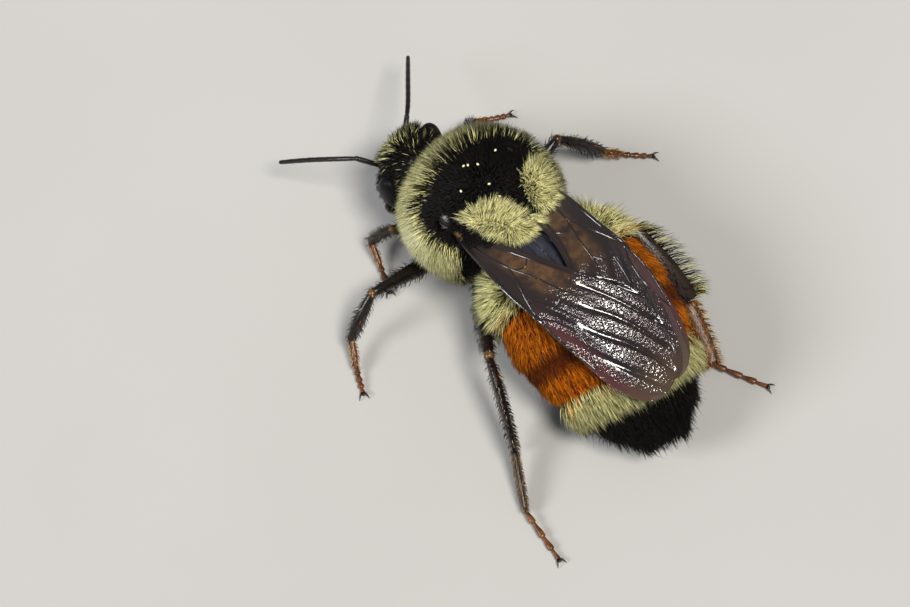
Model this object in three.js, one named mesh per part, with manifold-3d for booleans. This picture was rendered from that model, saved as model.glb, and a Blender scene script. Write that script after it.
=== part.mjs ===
// A tri-coloured bumblebee queen at rest with her wings folded, at life size.
// Millimetres, +Z up, all six feet on the plane z = 0. She faces -Y, and her left side is +X.
// Every piece is drawn out to the tips of its coat.
import * as THREE from 'three';
import Module from 'manifold-3d';
import { mergeVertices } from 'three/addons/utils/BufferGeometryUtils.js';

const wasm = await Module();
wasm.setup();

// ---- driving dimensions ----
const CUT = 0.1;         // gap left between neighbouring pieces
const SLIVER = 0.03;     // detail below this size is merged away after cutting
const FEELER = 0.5;      // thickness of antennae and wings

const THORAX = { width: 8.05, length: 6.9, above: 3.15, below: 2.9, centre: [-0.2, 0.1, 4.4], yaw: 8 };
const TEGULA = { width: 1.2, length: 1.3, height: 0.8, out: 2.8, back: 0.0, up: 2.0, tilt: 38 };
const HEAD = { width: 4.7, depth: 2.6, above: 2.3, below: 2.75, taper: 0.3, centre: [0.95, -3.65, 3.6] };
const HEAD_TURN = { yaw: 14, pitch: 8 };
const EYE = { width: 1.0, depth: 1.35, height: 2.7, out: 1.9, forward: 0.1, up: 0.5, lean: 11 };
// Mandible: root, elbow and tip in the head's own frame, out, forward and up from its middle.
const MANDIBLE = [[1.0, -0.75, -1.95], [0.95, -1.25, -2.5], [0.32, -1.5, -2.95]];
const ABDOMEN = { start: [-0.55, 2.5, 3.8], middle: [-0.7, 7.4, 3.7], tip: [0.95, 14.0, 1.9] };
const ABDOMEN_HALF_WIDTH = [2.4, 3.5, 3.85, 4.0, 3.95, 3.5, 2.6, 0.9];
const ABDOMEN_HALF_HEIGHT = [1.9, 2.7, 2.95, 2.95, 2.75, 2.35, 1.7, 0.7];
const ABDOMEN_SIDES = 24;
const BAND_ENDS = [0, 0.24, 0.44, 0.62, 0.77, 0.89, 1];   // where the six bands end, along the abdomen

const FOREWING = { length: 12.1, base: 1.0, broadest: 4.6, broadestAt: 0.75, flare: 2.4 };
const HINDWING = { length: 7.4, base: 0.9, broadest: 2.1, broadestAt: 0.6, flare: 1.5 };
const WING_RIDGE = [5.2, 6.1, 6.6, 6.55, 6.1, 5.25, 4.1, 2.9];  // height of the back under the wings
const WING_RIDGE_SPACING = 2.15;                               // of those heights, along y
const WING_DROOP = 0.075;                                      // fall of the wings to either side
const WING_LAYER = FEELER + CUT + 0.05;                        // one wing over the next

// Joints of each leg from the body outwards: hip, hip end, knee, ankle, heel of the foot, claws.
const LEGS = {
  front_left: [[0.9, -1.7, 2.1], [1.6, -2.0, 1.2], [3.0, -2.45, 2.5], [3.6, -3.3, 0.95],
    [3.95, -2.3, 0.42], [4.45, -1.1, 0.2]],
  front_right: [[-0.7, -2.0, 2.1], [-1.3, -2.6, 1.2], [-2.9, -3.9, 2.3], [-4.1, -4.9, 0.95],
    [-5.0, -4.7, 0.42], [-6.0, -4.3, 0.2]],
  middle_left: [[1.3, -0.2, 2.0], [2.2, -0.3, 1.5], [6.05, -0.4, 3.0], [7.65, -0.05, 1.05],
    [8.3, 1.0, 0.42], [8.8, 2.0, 0.2]],
  middle_right: [[-1.7, -0.2, 2.0], [-2.5, -0.3, 1.5], [-5.65, -0.7, 3.0], [-7.5, 0.4, 1.05],
    [-8.45, 0.95, 0.42], [-9.5, 1.85, 0.2]],
  hind_left: [[0.9, 1.7, 2.0], [1.9, 2.3, 1.5], [4.35, 5.6, 3.35], [5.95, 9.1, 1.25],
    [7.35, 11.4, 0.45], [7.75, 14.0, 0.2]],
  hind_right: [[-1.7, 1.5, 2.0], [-2.5, 2.1, 1.6], [-4.75, 5.3, 3.8], [-4.85, 8.95, 1.4],
    [-3.95, 11.75, 0.5], [-5.1, 14.1, 0.2]],
};
// Half widths of the leg pieces, each at its near end, middle and far end.
const LEG_GIRTH = {
  front: { coxa: [0.6, 0.6, 0.5], femur: [0.4, 0.55, 0.42], tibia: [0.35, 0.45, 0.42],
    basitarsus: [0.3, 0.32, 0.28], tarsus: [0.24, 0.26, 0.22] },
  middle: { coxa: [0.65, 0.65, 0.55], femur: [0.45, 0.62, 0.45], tibia: [0.45, 0.65, 0.52],
    basitarsus: [0.34, 0.4, 0.3], tarsus: [0.24, 0.26, 0.22] },
  hind: { coxa: [0.7, 0.75, 0.6], femur: [0.5, 0.68, 0.45], tibia: [0.5, 0.95, 0.9],
    basitarsus: [0.5, 0.55, 0.4], tarsus: [0.24, 0.27, 0.22] },
};
// The broad side of the hind legs runs along these lines; the other legs are broadest upright.
const BROAD = { hind_left: [0.25, 0.2, 1], hind_right: [-0.95, 0.17, 0.26] };
const FLATNESS = { coxa: 1, femur: 0.9, tibia: 0.62, basitarsus: 0.7, tarsus: 1 };

// Feelers: root, elbow, bend and tip. The elbow joins scape and flagellum.
const ANTENNAE = {
  left: [[1.55, -4.85, 3.85], [2.45, -5.5, 4.45], [2.95, -6.15, 4.15], [4.5, -8.7, 2.3]],
  right: [[0.4, -4.95, 3.85], [-0.75, -5.65, 4.35], [-1.4, -6.3, 4.15], [-3.54, -8.73, 2.85]],
};

// ---- colours ----
const COLOURS = {
  black: [0x14120f, 0.9],
  yellow: [0xc9c46c, 0.9],
  orange: [0xb8660f, 0.9],
  shell: [0x1b1714, 0.35],
  eye: [0x0d0b10, 0.2],
  wing: [0x4a3430, 0.35],
  foot: [0x8a4a1c, 0.5],
};

function paint(colour) {
  const [hex, roughness] = COLOURS[colour];
  return new THREE.MeshStandardMaterial({ color: hex, roughness, metalness: 0 });
}

const vec = (p) => new THREE.Vector3(...p);
const degrees = THREE.MathUtils.degToRad;

// ---- ways of making a closed body ----

// Skins a row of rings, each a closed loop of as many points, and closes both ends with a fan.
function skin(rings) {
  const sides = rings[0].length;
  const points = rings.flat();
  const faces = [];
  for (let i = 0; i + 1 < rings.length; i += 1) {
    for (let j = 0; j < sides; j += 1) {
      const a = i * sides + j;
      const b = i * sides + ((j + 1) % sides);
      faces.push(a, b, a + sides, b, b + sides, a + sides);
    }
  }
  const last = (rings.length - 1) * sides;
  const near = points.push(middleOf(rings[0])) - 1;
  const far = points.push(middleOf(rings[rings.length - 1])) - 1;
  for (let j = 0; j < sides; j += 1) {
    const k = (j + 1) % sides;
    faces.push(near, k, j);
    faces.push(far, last + j, last + k);
  }
  const geometry = new THREE.BufferGeometry().setFromPoints(points);
  geometry.setIndex(faces);
  return geometry;
}

function middleOf(ring) {
  const sum = new THREE.Vector3();
  ring.forEach((p) => sum.add(p));
  return sum.divideScalar(ring.length);
}

// An ellipse around a centre; side x up points along the row of rings.
function oval(centre, side, up, halfWidth, halfHeight, sides) {
  return Array.from({ length: sides }, (_, j) => {
    const turn = (2 * Math.PI * j) / sides;
    return centre.clone()
      .addScaledVector(side, halfWidth * Math.cos(turn))
      .addScaledVector(up, halfHeight * Math.sin(turn));
  });
}

// A smooth value read from evenly spaced stops, at 0 to 1 along them.
function along(stops, t) {
  const x = THREE.MathUtils.clamp(t, 0, 1) * (stops.length - 1);
  const i = Math.min(Math.floor(x), stops.length - 2);
  const f = x - i;
  const before = stops[Math.max(i - 1, 0)];
  const after = stops[Math.min(i + 2, stops.length - 1)];
  const slopeA = (stops[i + 1] - before) / 2;
  const slopeB = (after - stops[i]) / 2;
  const f2 = f * f;
  const f3 = f2 * f;
  return stops[i] * (2 * f3 - 3 * f2 + 1) + slopeA * (f3 - 2 * f2 + f)
    + stops[i + 1] * (3 * f2 - 2 * f3) + slopeB * (f3 - f2);
}

// An egg: rings along its own y axis, with its own half height above and below its middle.
// Taper narrows it downwards, and a blunt power under 1 fills its ends out.
function egg({ halfWidth, halfLength, above, below, turns, sides, blunt = 1, taper = 0 }) {
  const pole = 0.035;
  const rings = [];
  for (let i = 0; i <= turns; i += 1) {
    const lean = Math.PI * THREE.MathUtils.clamp(i / turns, pole, 1 - pole);
    const girth = Math.sin(lean) ** blunt;
    const ring = Array.from({ length: sides }, (_, j) => {
      const turn = (2 * Math.PI * j) / sides;
      const height = Math.sin(turn) > 0 ? above : below;
      const narrow = 1 - taper * Math.max(-Math.sin(turn) * girth, 0) ** 1.5;
      return new THREE.Vector3(
        -halfWidth * girth * narrow * Math.cos(turn),
        -halfLength * Math.cos(lean),
        height * girth * Math.sin(turn),
      );
    });
    rings.push(ring);
  }
  return skin(rings);
}

function place(geometry, centre, yaw = 0, pitch = 0, roll = 0) {
  const turn = new THREE.Matrix4().makeRotationFromEuler(
    new THREE.Euler(degrees(pitch), degrees(roll), degrees(yaw), 'ZXY'),
  );
  return geometry.applyMatrix4(turn).translate(...centre);
}

// A limb: an oval carried along a bent path, rounded off at both ends.
function limb(path, girth, { flatness = 1, flat = [0, 0, 1], turns = 5, sides = 8, grow = 0 } = {}) {
  const curve = new THREE.CatmullRomCurve3(path.map(vec), false, 'centripetal');
  const wide = vec(flat).normalize();
  const rings = [];
  for (let i = 0; i <= turns; i += 1) {
    const t = i / turns;
    const heading = curve.getTangentAt(t);
    const up = wide.clone().addScaledVector(heading, -wide.dot(heading)).normalize();
    const side = up.clone().cross(heading);
    const end = Math.sin(Math.PI * THREE.MathUtils.clamp(t, 0.05, 0.95)) ** 0.25;
    const radius = along(girth, t) * end + grow;
    const thin = Math.max(along(girth, t) * end * flatness, FEELER / 2 * end) + grow;
    const centre = curve.getPointAt(t);
    if (i === 0) centre.addScaledVector(heading, -grow);
    if (i === turns) centre.addScaledVector(heading, grow);
    rings.push(oval(centre, side, up, thin, radius, sides));
  }
  return skin(rings);
}

// ---- joining and cutting ----

function solid(geometry) {
  const bare = geometry.clone();
  bare.deleteAttribute('normal');
  bare.deleteAttribute('uv');
  const merged = mergeVertices(bare, 1e-4);
  return new wasm.Manifold(new wasm.Mesh({
    numProp: 3,
    vertProperties: new Float32Array(merged.attributes.position.array),
    triVerts: new Uint32Array(merged.index.array),
  }));
}

function geometryOf(body) {
  const mesh = body.getMesh();
  const geometry = new THREE.BufferGeometry();
  geometry.setAttribute('position', new THREE.BufferAttribute(mesh.vertProperties, 3));
  geometry.setIndex(new THREE.BufferAttribute(mesh.triVerts, 1));
  geometry.computeVertexNormals();
  return geometry;
}

function boxesMeet(a, b) {
  const p = a.boundingBox();
  const q = b.boundingBox();
  return [0, 1, 2].every((k) => p.min[k] < q.max[k] && q.min[k] < p.max[k]);
}

const biggestOf = (body) => body.decompose().sort((a, b) => b.volume() - a.volume())[0];

// ---- the pieces, each a function of how far it is grown for cutting its neighbours ----

const thorax = (grow) => place(egg({
  halfWidth: THORAX.width / 2 + grow,
  halfLength: THORAX.length / 2 + grow,
  above: THORAX.above + grow,
  below: THORAX.below + grow,
  turns: 11,
  sides: 20,
  blunt: 0.8,
}), THORAX.centre, THORAX.yaw);

const head = (grow) => place(egg({
  halfWidth: HEAD.width / 2 + grow,
  halfLength: HEAD.depth / 2 + grow,
  above: HEAD.above + grow,
  below: HEAD.below + grow,
  turns: 9,
  sides: 18,
  blunt: 0.75,
  taper: HEAD.taper,
}), HEAD.centre, HEAD_TURN.yaw, HEAD_TURN.pitch);

// Carries a point from the head's own frame to the bee's.
function onHead(x, y, z) {
  const turn = new THREE.Euler(degrees(HEAD_TURN.pitch), 0, degrees(HEAD_TURN.yaw), 'ZXY');
  return new THREE.Vector3(x, y, z).applyEuler(turn).add(vec(HEAD.centre));
}

const eye = (side) => (grow) => place(
  place(egg({
    halfWidth: EYE.width / 2 + grow,
    halfLength: EYE.depth / 2 + grow,
    above: EYE.height / 2 + grow,
    below: EYE.height / 2 + grow,
    turns: 8,
    sides: 12,
  }), [0, 0, 0], 0, 0, side * EYE.lean),
  onHead(side * EYE.out, -EYE.forward, EYE.up).toArray(),
  HEAD_TURN.yaw,
  HEAD_TURN.pitch,
);

const mandible = (side) => (grow) => limb(
  MANDIBLE.map(([x, y, z]) => onHead(side * x, y, z).toArray()),
  [0.36, 0.34, 0.2],
  { flatness: 0.7, grow },
);

const FEELER_GIRTH = [FEELER / 2, FEELER / 2, FEELER / 2];

const scape = ([root, elbow]) => (grow) => limb([root, elbow], FEELER_GIRTH, { turns: 3, grow });

const flagellum = ([, elbow, bend, tip]) => (grow) => (
  limb([elbow, bend, tip], FEELER_GIRTH, { turns: 7, grow })
);

// The scale over a wing's root, set by its place out, back and up from the middle of the thorax.
const tegula = (side) => (grow) => place(place(egg({
  halfWidth: TEGULA.width / 2 + grow,
  halfLength: TEGULA.length / 2 + grow,
  above: TEGULA.height / 2 + grow,
  below: TEGULA.height / 2 + grow,
  turns: 6,
  sides: 10,
}), [side * TEGULA.out, TEGULA.back, TEGULA.up], 0, 0, side * TEGULA.tilt), THORAX.centre, THORAX.yaw);

// The abdomen: a bent axis, the oval ring at a share t along it, and the six bands cut from it.
const ABDOMEN_AXIS = new THREE.QuadraticBezierCurve3(
  vec(ABDOMEN.start),
  vec(ABDOMEN.middle),
  vec(ABDOMEN.tip),
);

function abdomenRing(t, inset) {
  const heading = ABDOMEN_AXIS.getTangentAt(t);
  const side = new THREE.Vector3(0, 0, 1).cross(heading).normalize();
  const up = heading.clone().cross(side);
  const centre = ABDOMEN_AXIS.getPointAt(t).addScaledVector(heading, inset);
  return oval(centre, side, up, along(ABDOMEN_HALF_WIDTH, t), along(ABDOMEN_HALF_HEIGHT, t), ABDOMEN_SIDES);
}

const band = (number) => () => {
  const from = BAND_ENDS[number - 1];
  const to = BAND_ENDS[number];
  const turns = 3;
  const rings = [];
  for (let i = 0; i <= turns; i += 1) {
    const inset = i === 0 ? CUT / 2 : (i === turns ? -CUT / 2 : 0);
    rings.push(abdomenRing(from + ((to - from) * i) / turns, inset));
  }
  return skin(rings);
};

// Height of the back under the folded wings, which falls off to either side.
function backHeight(x, y) {
  const ridge = along(WING_RIDGE, y / WING_RIDGE_SPACING / (WING_RIDGE.length - 1));
  return ridge - WING_DROOP * x ** 2;
}

// A wing: a strip laid over the back, which widens to its broadest line and ends in a round tip.
// Its front edge bows outwards, is swept in towards the tail and curves in at the tip.
function wing(side, form, { root, bow, sweep, tuck, layer }) {
  const turns = 10;
  return (grow) => {
    const rings = [];
    for (let i = 0; i <= turns; i += 1) {
      const t = Math.sin((Math.PI / 2) * (i / turns));
      const flare = Math.sin((Math.PI / 2) * Math.min(t / form.broadestAt, 1)) ** form.flare;
      const tip = Math.max(t - form.broadestAt, 0) / (1 - form.broadestAt);
      const width = (form.base + (form.broadest - form.base) * flare) * Math.sqrt(1 - 0.97 * tip ** 2.4);
      const front = root[0] + bow * Math.sin(Math.PI * t) - sweep * t - tuck * tip ** 2;
      const end = i === 0 ? -grow : (i === turns ? grow : 0);
      const y = root[1] + t * form.length + end;
      rings.push(wingRing(side, front - width / 2, y, width / 2 + grow, layer, grow));
    }
    return skin(rings);
  };
}

function wingRing(side, centre, y, half, layer, grow) {
  const across = 5;
  const thick = FEELER / 2 + grow;
  const edge = Array.from({ length: across + 1 }, (_, j) => side * centre + half * (1 - (2 * j) / across));
  const level = (x, lift) => new THREE.Vector3(x, y, backHeight(x, y) + layer * WING_LAYER + lift);
  const upper = edge.map((x) => level(x, thick));
  const lower = edge.map((x) => level(x, -thick)).reverse();
  return [...upper, ...lower].reverse();
}

// ---- the list of pieces: each one is cut by the ones above it ----

const PIECES = [];

function add(name, colour, shape) {
  PIECES.push({ name, colour, shape });
}

for (const [word, side] of [['left', 1], ['right', -1]]) {
  add(`eye_${word}`, 'eye', eye(side));
  add(`mandible_${word}`, 'shell', mandible(side));
  add(`antenna_${word}_scape`, 'shell', scape(ANTENNAE[word]));
  add(`antenna_${word}_flagellum`, 'shell', flagellum(ANTENNAE[word]));
  add(`tegula_${word}`, 'shell', tegula(side));
}
add('forewing_left', 'wing', wing(1, FOREWING, {
  root: [2.4, 1.1], bow: 1.15, sweep: 0.45, tuck: 1.3, layer: 2.5,
}));
add('forewing_right', 'wing', wing(-1, FOREWING, {
  root: [2.7, 1.0], bow: 0.45, sweep: 0.75, tuck: 0.9, layer: 1.5,
}));
add('hindwing_left', 'wing', wing(1, HINDWING, {
  root: [1.2, 2.6], bow: 0.6, sweep: -0.5, tuck: 0, layer: 0.5,
}));
add('hindwing_right', 'wing', wing(-1, HINDWING, {
  root: [1.7, 2.9], bow: 0.6, sweep: -0.4, tuck: 0, layer: 0.5,
}));

const SEGMENTS = ['coxa', 'femur', 'tibia', 'basitarsus', 'tarsus'];
for (const [leg, joints] of Object.entries(LEGS)) {
  const girth = LEG_GIRTH[leg.split('_')[0]];
  SEGMENTS.forEach((segment, i) => {
    const colour = segment === 'tarsus' || segment === 'basitarsus' ? 'foot' : 'shell';
    const shape = (grow) => limb([joints[i], joints[i + 1]], girth[segment], {
      flatness: FLATNESS[segment],
      flat: BROAD[leg],
      grow,
    });
    add(`leg_${leg}_${segment}`, colour, shape);
  });
}
add('thorax', 'yellow', thorax);
add('head', 'black', head);
['yellow', 'orange', 'orange', 'yellow', 'black', 'black'].forEach((colour, i) => {
  add(`abdomen_${i + 1}`, colour, band(i + 1));
});

// Each piece gives way to those before it, and the feet end flat on the floor.
const FLOOR = solid(new THREE.BoxGeometry(60, 60, 10).translate(0, 5, -5));
const bee = new THREE.Group();
const cutters = [];
for (const piece of PIECES) {
  let body = solid(piece.shape(0));
  for (const cutter of [FLOOR, ...cutters]) {
    if (boxesMeet(body, cutter)) body = body.subtract(cutter);
  }
  const mesh = new THREE.Mesh(geometryOf(biggestOf(body.simplify(SLIVER))), paint(piece.colour));
  mesh.name = piece.name;
  bee.add(mesh);
  cutters.push(solid(piece.shape(CUT)));
}

// The origin goes to the middle of the footprint of the whole bee.
const extent = new THREE.Box3().setFromObject(bee);
const middle = extent.getCenter(new THREE.Vector3());
bee.position.set(-middle.x, -middle.y, -extent.min.z);
bee.updateMatrixWorld(true);

export default bee;
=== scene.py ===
# %% [markdown]
# # A tri-coloured bumblebee queen, life size
# The model is a still museum piece: one skin for the head, thorax and abdomen, hard parts of polished
# shell, four thin wings, and a coat of small solid hairs. All shapes are worked out in millimetres in
# the bee's own frame, where she faces -Y and her left side is +X, and go into metres at the very end.

# %% Load the frame
import math
from collections import namedtuple
import bpy
import numpy as np
from mathutils import Matrix, Vector


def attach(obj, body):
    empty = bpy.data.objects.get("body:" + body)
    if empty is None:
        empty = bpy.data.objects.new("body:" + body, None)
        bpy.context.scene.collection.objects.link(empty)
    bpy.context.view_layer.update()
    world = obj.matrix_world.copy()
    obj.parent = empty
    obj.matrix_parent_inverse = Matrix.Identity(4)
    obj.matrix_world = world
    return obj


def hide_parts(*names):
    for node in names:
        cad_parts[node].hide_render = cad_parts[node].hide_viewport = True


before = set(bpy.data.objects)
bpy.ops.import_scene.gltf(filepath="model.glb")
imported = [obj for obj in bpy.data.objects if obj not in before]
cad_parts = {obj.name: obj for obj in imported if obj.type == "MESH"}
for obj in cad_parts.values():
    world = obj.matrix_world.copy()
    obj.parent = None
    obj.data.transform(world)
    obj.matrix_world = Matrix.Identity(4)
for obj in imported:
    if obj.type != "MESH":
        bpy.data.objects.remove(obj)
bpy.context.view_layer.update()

# %% [markdown]
# ## Numbers used everywhere
# The bee is placed by one shift: her own origin is under the middle of the thorax, while the model's is
# under the middle of her whole footprint. A helper reads smooth values from a few stops, so that a
# shape can be given by the handful of sizes that a maker would measure.

# %% Shared helpers
MM = 0.001
SHIFT = np.array([0.3308, -2.6979, -0.0391])   # from the bee's own origin to the model's, in mm


def settle(points):
    """Metres in the model's frame: each point plus the shift, times a thousandth."""
    return (np.asarray(points, float) + SHIFT) * MM


def unit(v):
    """Each vector divided by its own length."""
    return v / np.maximum(np.linalg.norm(v, axis=-1, keepdims=True), 1e-12)


def along(stops, t):
    """A smooth value between evenly spaced stops: a cubic whose slope at each stop is half the step
    from the stop before it to the stop after it."""
    stops = np.asarray(stops, float)
    x = np.clip(np.asarray(t, float), 0, 1) * (len(stops) - 1)
    i = np.minimum(x.astype(int), len(stops) - 2)
    f = x - i
    if stops.ndim > 1:
        f = f[..., None]
    a, b = stops[i], stops[i + 1]
    slope_a = (b - stops[np.maximum(i - 1, 0)]) / 2
    slope_b = (stops[np.minimum(i + 2, len(stops) - 1)] - a) / 2
    rise, fall = 3 * f**2 - 2 * f**3, 2 * f**3 - 3 * f**2 + 1
    return a * fall + slope_a * (f**3 - 2 * f**2 + f) + b * rise + slope_b * (f**3 - f**2)


def ease(low, high, x):
    """0 below low, 1 above high, and an S-shaped rise between them."""
    t = np.clip((np.asarray(x, float) - low) / (high - low), 0, 1)
    return t * t * (3 - 2 * t)


def turned(yaw, pitch=0.0, roll=0.0):
    """A matrix that rolls about Y, then pitches about X, then yaws about Z, in degrees."""
    c, s = np.cos(np.radians([yaw, pitch, roll])), np.sin(np.radians([yaw, pitch, roll]))
    about_z = np.array([[c[0], -s[0], 0], [s[0], c[0], 0], [0, 0, 1]])
    about_x = np.array([[1, 0, 0], [0, c[1], -s[1]], [0, s[1], c[1]]])
    about_y = np.array([[c[2], 0, s[2]], [0, 1, 0], [-s[2], 0, c[2]]])
    return about_z @ about_x @ about_y


# %% [markdown]
# ## Shapes from arrays
# Almost every part of an insect is a ring of points carried along a line: a leg, a feeler, an eye and
# even a flat wing. So there is one tool that joins rings into a closed tube with a pole at each end,
# one that turns a path and its half widths into rings, and one that puts the arrays into a mesh.

# %% Tubes, joins and meshes
LIMB_SPAN, EGG_POLE = (0.012, 0.988), 0.04   # how near the first and last rings come to the poles


def tube(rings):
    """Rings joined row to row by quads, and closed at each end by a fan to the ring's middle."""
    rows, count = rings.shape[:2]
    points = np.concatenate([rings.reshape(-1, 3), rings[:1].mean(1), rings[-1:].mean(1)])
    i, j = np.meshgrid(np.arange(rows - 1), np.arange(count), indexing="ij")
    n = (j + 1) % count
    quads = np.stack([i * count + j, i * count + n, (i + 1) * count + n, (i + 1) * count + j], -1)
    c = np.arange(count)
    n = (c + 1) % count
    first = np.stack([np.full(count, rows * count), n, c], -1)
    base = (rows - 1) * count
    last = np.stack([np.full(count, rows * count + 1), base + c, base + n], -1)
    return outward(points, [quads.reshape(-1, 4), np.concatenate([first, last])])


def outward(points, faces):
    """The same shape, with its faces turned round if the volume they enclose comes out negative."""
    fans = [f[:, [0, 1, 2]] for f in faces] + [f[:, [0, 2, 3]] for f in faces if f.shape[1] == 4]
    a, b, c = (points[np.concatenate(fans)[:, k]] for k in range(3))
    inside_out = np.einsum("ij,ij->i", a - points[0], np.cross(b - points[0], c - points[0])).sum() < 0
    return points, [f[:, ::-1] for f in faces] if inside_out else faces


def join(*shapes):
    """Several shapes as one: points end to end, with each shape's faces counted on from the last."""
    starts = np.cumsum([0] + [len(s[0]) for s in shapes])
    faces = [f + start for s, start in zip(shapes, starts) for f in s[1]]
    return np.concatenate([s[0] for s in shapes]), faces


def rings_on(path, thin, broad, broad_way, sides=20):
    """Ovals across a path: each is the middle, plus thin times cosine to the side, plus broad times
    sine along the broad direction, which is made square to the path first."""
    heading = unit(np.gradient(path, axis=0))
    up = np.asarray(broad_way, float) * np.ones_like(path)
    up = unit(up - np.sum(up * heading, -1, keepdims=True) * heading)
    side = np.cross(up, heading)
    turn = np.linspace(0, 2 * np.pi, sides, endpoint=False)[None, :, None]
    thin = np.broadcast_to(thin, len(path))[:, None, None]
    broad = np.broadcast_to(broad, len(path))[:, None, None]
    return path[:, None] + side[:, None] * thin * np.cos(turn) + up[:, None] * broad * np.sin(turn)


def limb(joints, thin, broad, broad_way=(0, 0, 1), rows=28, sides=20, square=14):
    """A rounded limb: ovals along a smooth line through the joints. The half widths come from evenly
    spaced stops, and both ends are rounded off by one minus a high power of the distance from mid."""
    t = 0.5 - 0.5 * np.cos(np.pi * np.linspace(*LIMB_SPAN, rows))
    end = np.sqrt(1 - np.abs(2 * t - 1) ** square)
    return rings_on(along(joints, t), along(thin, t) * end, along(broad, t) * end, broad_way, sides)


def egg(size, rows=24, sides=32):
    """A ball squashed to three half sizes: rings along Y, each as wide as the sine of its lean."""
    lean = np.linspace(EGG_POLE, np.pi - EGG_POLE, rows)[:, None]
    turn = np.linspace(0, 2 * np.pi, sides, endpoint=False)[None]
    ball = [np.sin(lean) * np.cos(turn), -np.cos(lean) * np.ones_like(turn), np.sin(lean) * np.sin(turn)]
    return np.stack(ball, -1) * np.asarray(size, float)


pieces = {}


def piece(name, shape, material, slot, replaced=(), corner_uv=None, **facts):
    """Puts points and faces into a mesh object. Facts are values per point that materials read."""
    points, faces = shape
    corners = np.concatenate([f.ravel() for f in faces]).astype(np.int32)
    sizes = np.concatenate([np.full(len(f), f.shape[1]) for f in faces])
    mesh = bpy.data.meshes.new(name)
    mesh.vertices.add(len(points))
    mesh.vertices.foreach_set("co", settle(points).astype(np.float32).ravel())
    mesh.loops.add(len(corners))
    mesh.loops.foreach_set("vertex_index", corners)
    mesh.polygons.add(len(sizes))
    mesh.polygons.foreach_set("loop_start", (np.cumsum(sizes) - sizes).astype(np.int32))
    mesh.polygons.foreach_set("use_smooth", np.full(len(sizes), True))
    if corner_uv is not None:
        layer = mesh.uv_layers.new(name="OFBake")
        layer.data.foreach_set("uv", corner_uv.astype(np.float32).ravel())
    for fact, values in facts.items():
        if values.ndim == 1:
            mesh.attributes.new(fact, "FLOAT", "POINT").data.foreach_set("value", values.astype(np.float32))
        else:
            colour = np.concatenate([values, np.ones((len(values), 1))], 1).astype(np.float32)
            mesh.attributes.new(fact, "FLOAT_COLOR", "POINT").data.foreach_set("color", colour.ravel())
    mesh.update(calc_edges=True)
    mesh.materials.append(material)
    made = bpy.data.objects.new(name, mesh)
    bpy.context.scene.collection.objects.link(made)
    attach(made, "root")
    if replaced:
        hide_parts(*replaced)
    triangles = int((sizes - 2).sum())
    pieces[name] = triangles
    print(f"{name}: {triangles} triangles")
    return made


# %% [markdown]
# ## Writing materials as sums
# A shader is a wiring diagram, and most of its nodes are plain arithmetic. The small class below stands
# for one output of a node and turns Python's own signs into Math nodes, so a mask reads like a formula.

# %% A wire and a recipe
class Wire:
    """One output of a node. Signs between wires and numbers add Math nodes."""

    def __init__(self, recipe, socket):
        self.recipe, self.socket = recipe, socket

    def __add__(self, other):
        return self.recipe.maths("ADD", self, other)

    def __sub__(self, other):
        return self.recipe.maths("SUBTRACT", self, other)

    def __rsub__(self, other):
        return self.recipe.maths("SUBTRACT", other, self)

    def __mul__(self, other):
        return self.recipe.maths("MULTIPLY", self, other)

    __radd__ = __add__
    __rmul__ = __mul__

    def ramp(self, low, high):
        """0 below low, 1 above high, smooth between: a Map Range node."""
        settings = {"interpolation_type": "SMOOTHSTEP"}
        return self.recipe.node("ShaderNodeMapRange", settings, {0: self, 1: low, 2: high, 3: 0, 4: 1})


class Recipe:
    """One material being written: it holds the tree, the shader and its place."""

    def __init__(self, name, **constants):
        self.material = bpy.data.materials.new(name)
        self.material.use_nodes = True
        self.tree = self.material.node_tree
        self.shader = self.tree.nodes["Principled BSDF"]
        for socket, value in constants.items():
            self.shader.inputs[socket.replace("_", " ")].default_value = value
        place = self.tree.nodes.new("ShaderNodeTexCoord")
        self.place = Wire(self, place.outputs["Object"])

    def node(self, kind, settings=None, sockets=None, out=0):
        """Any node: its settings first, then the values or wires of its sockets, then one output."""
        made = self.tree.nodes.new(kind)
        for setting, value in (settings or {}).items():
            setattr(made, setting, value)
        for socket, value in (sockets or {}).items():
            self.feed(made.inputs[socket], value)
        return Wire(self, made.outputs[out])

    def feed(self, socket, value):
        if isinstance(value, Wire):
            self.tree.links.new(value.socket, socket)
        elif isinstance(value, tuple) and len(value) == 3 and socket.type == "RGBA":
            socket.default_value = (*value, 1)
        else:
            socket.default_value = value

    def maths(self, operation, *values):
        """A Math node of wires and numbers."""
        return self.node("ShaderNodeMath", {"operation": operation}, dict(enumerate(values)))

    def parts(self, colour):
        """The red, green and blue of a colour, as wires."""
        split = self.node("ShaderNodeSeparateColor", None, {0: colour}).socket.node
        return [Wire(self, output) for output in split.outputs]

    def mix(self, factor, a, b):
        """Colour a where the factor is 0 and colour b where it is 1."""
        settings = {"data_type": "RGBA"}
        return self.node("ShaderNodeMix", settings, {0: factor, 6: a, 7: b}, out=2)

    def noise(self, scale, detail=2.0, place=None):
        """Soft noise from 0 to 1; the scale is in features per millimetre."""
        sockets = {"Vector": place or self.place, "Scale": scale / MM, "Detail": detail}
        return self.node("ShaderNodeTexNoise", None, sockets)

    def fact(self, name, out="Fac"):
        """A value that the piece carries at each of its points."""
        return self.node("ShaderNodeAttribute", {"attribute_name": name}, None, out)

    def bump(self, height, distance, strength=1.0):
        """Dents the surface by a height from 0 to 1, times a distance in millimetres."""
        sockets = {"Height": height, "Distance": distance * MM, "Strength": strength}
        self.set(Normal=self.node("ShaderNodeBump", None, sockets))

    def set(self, **sockets):
        for socket, value in sockets.items():
            self.feed(self.shader.inputs[socket.replace("_", " ")], value)
        return self.material


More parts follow.
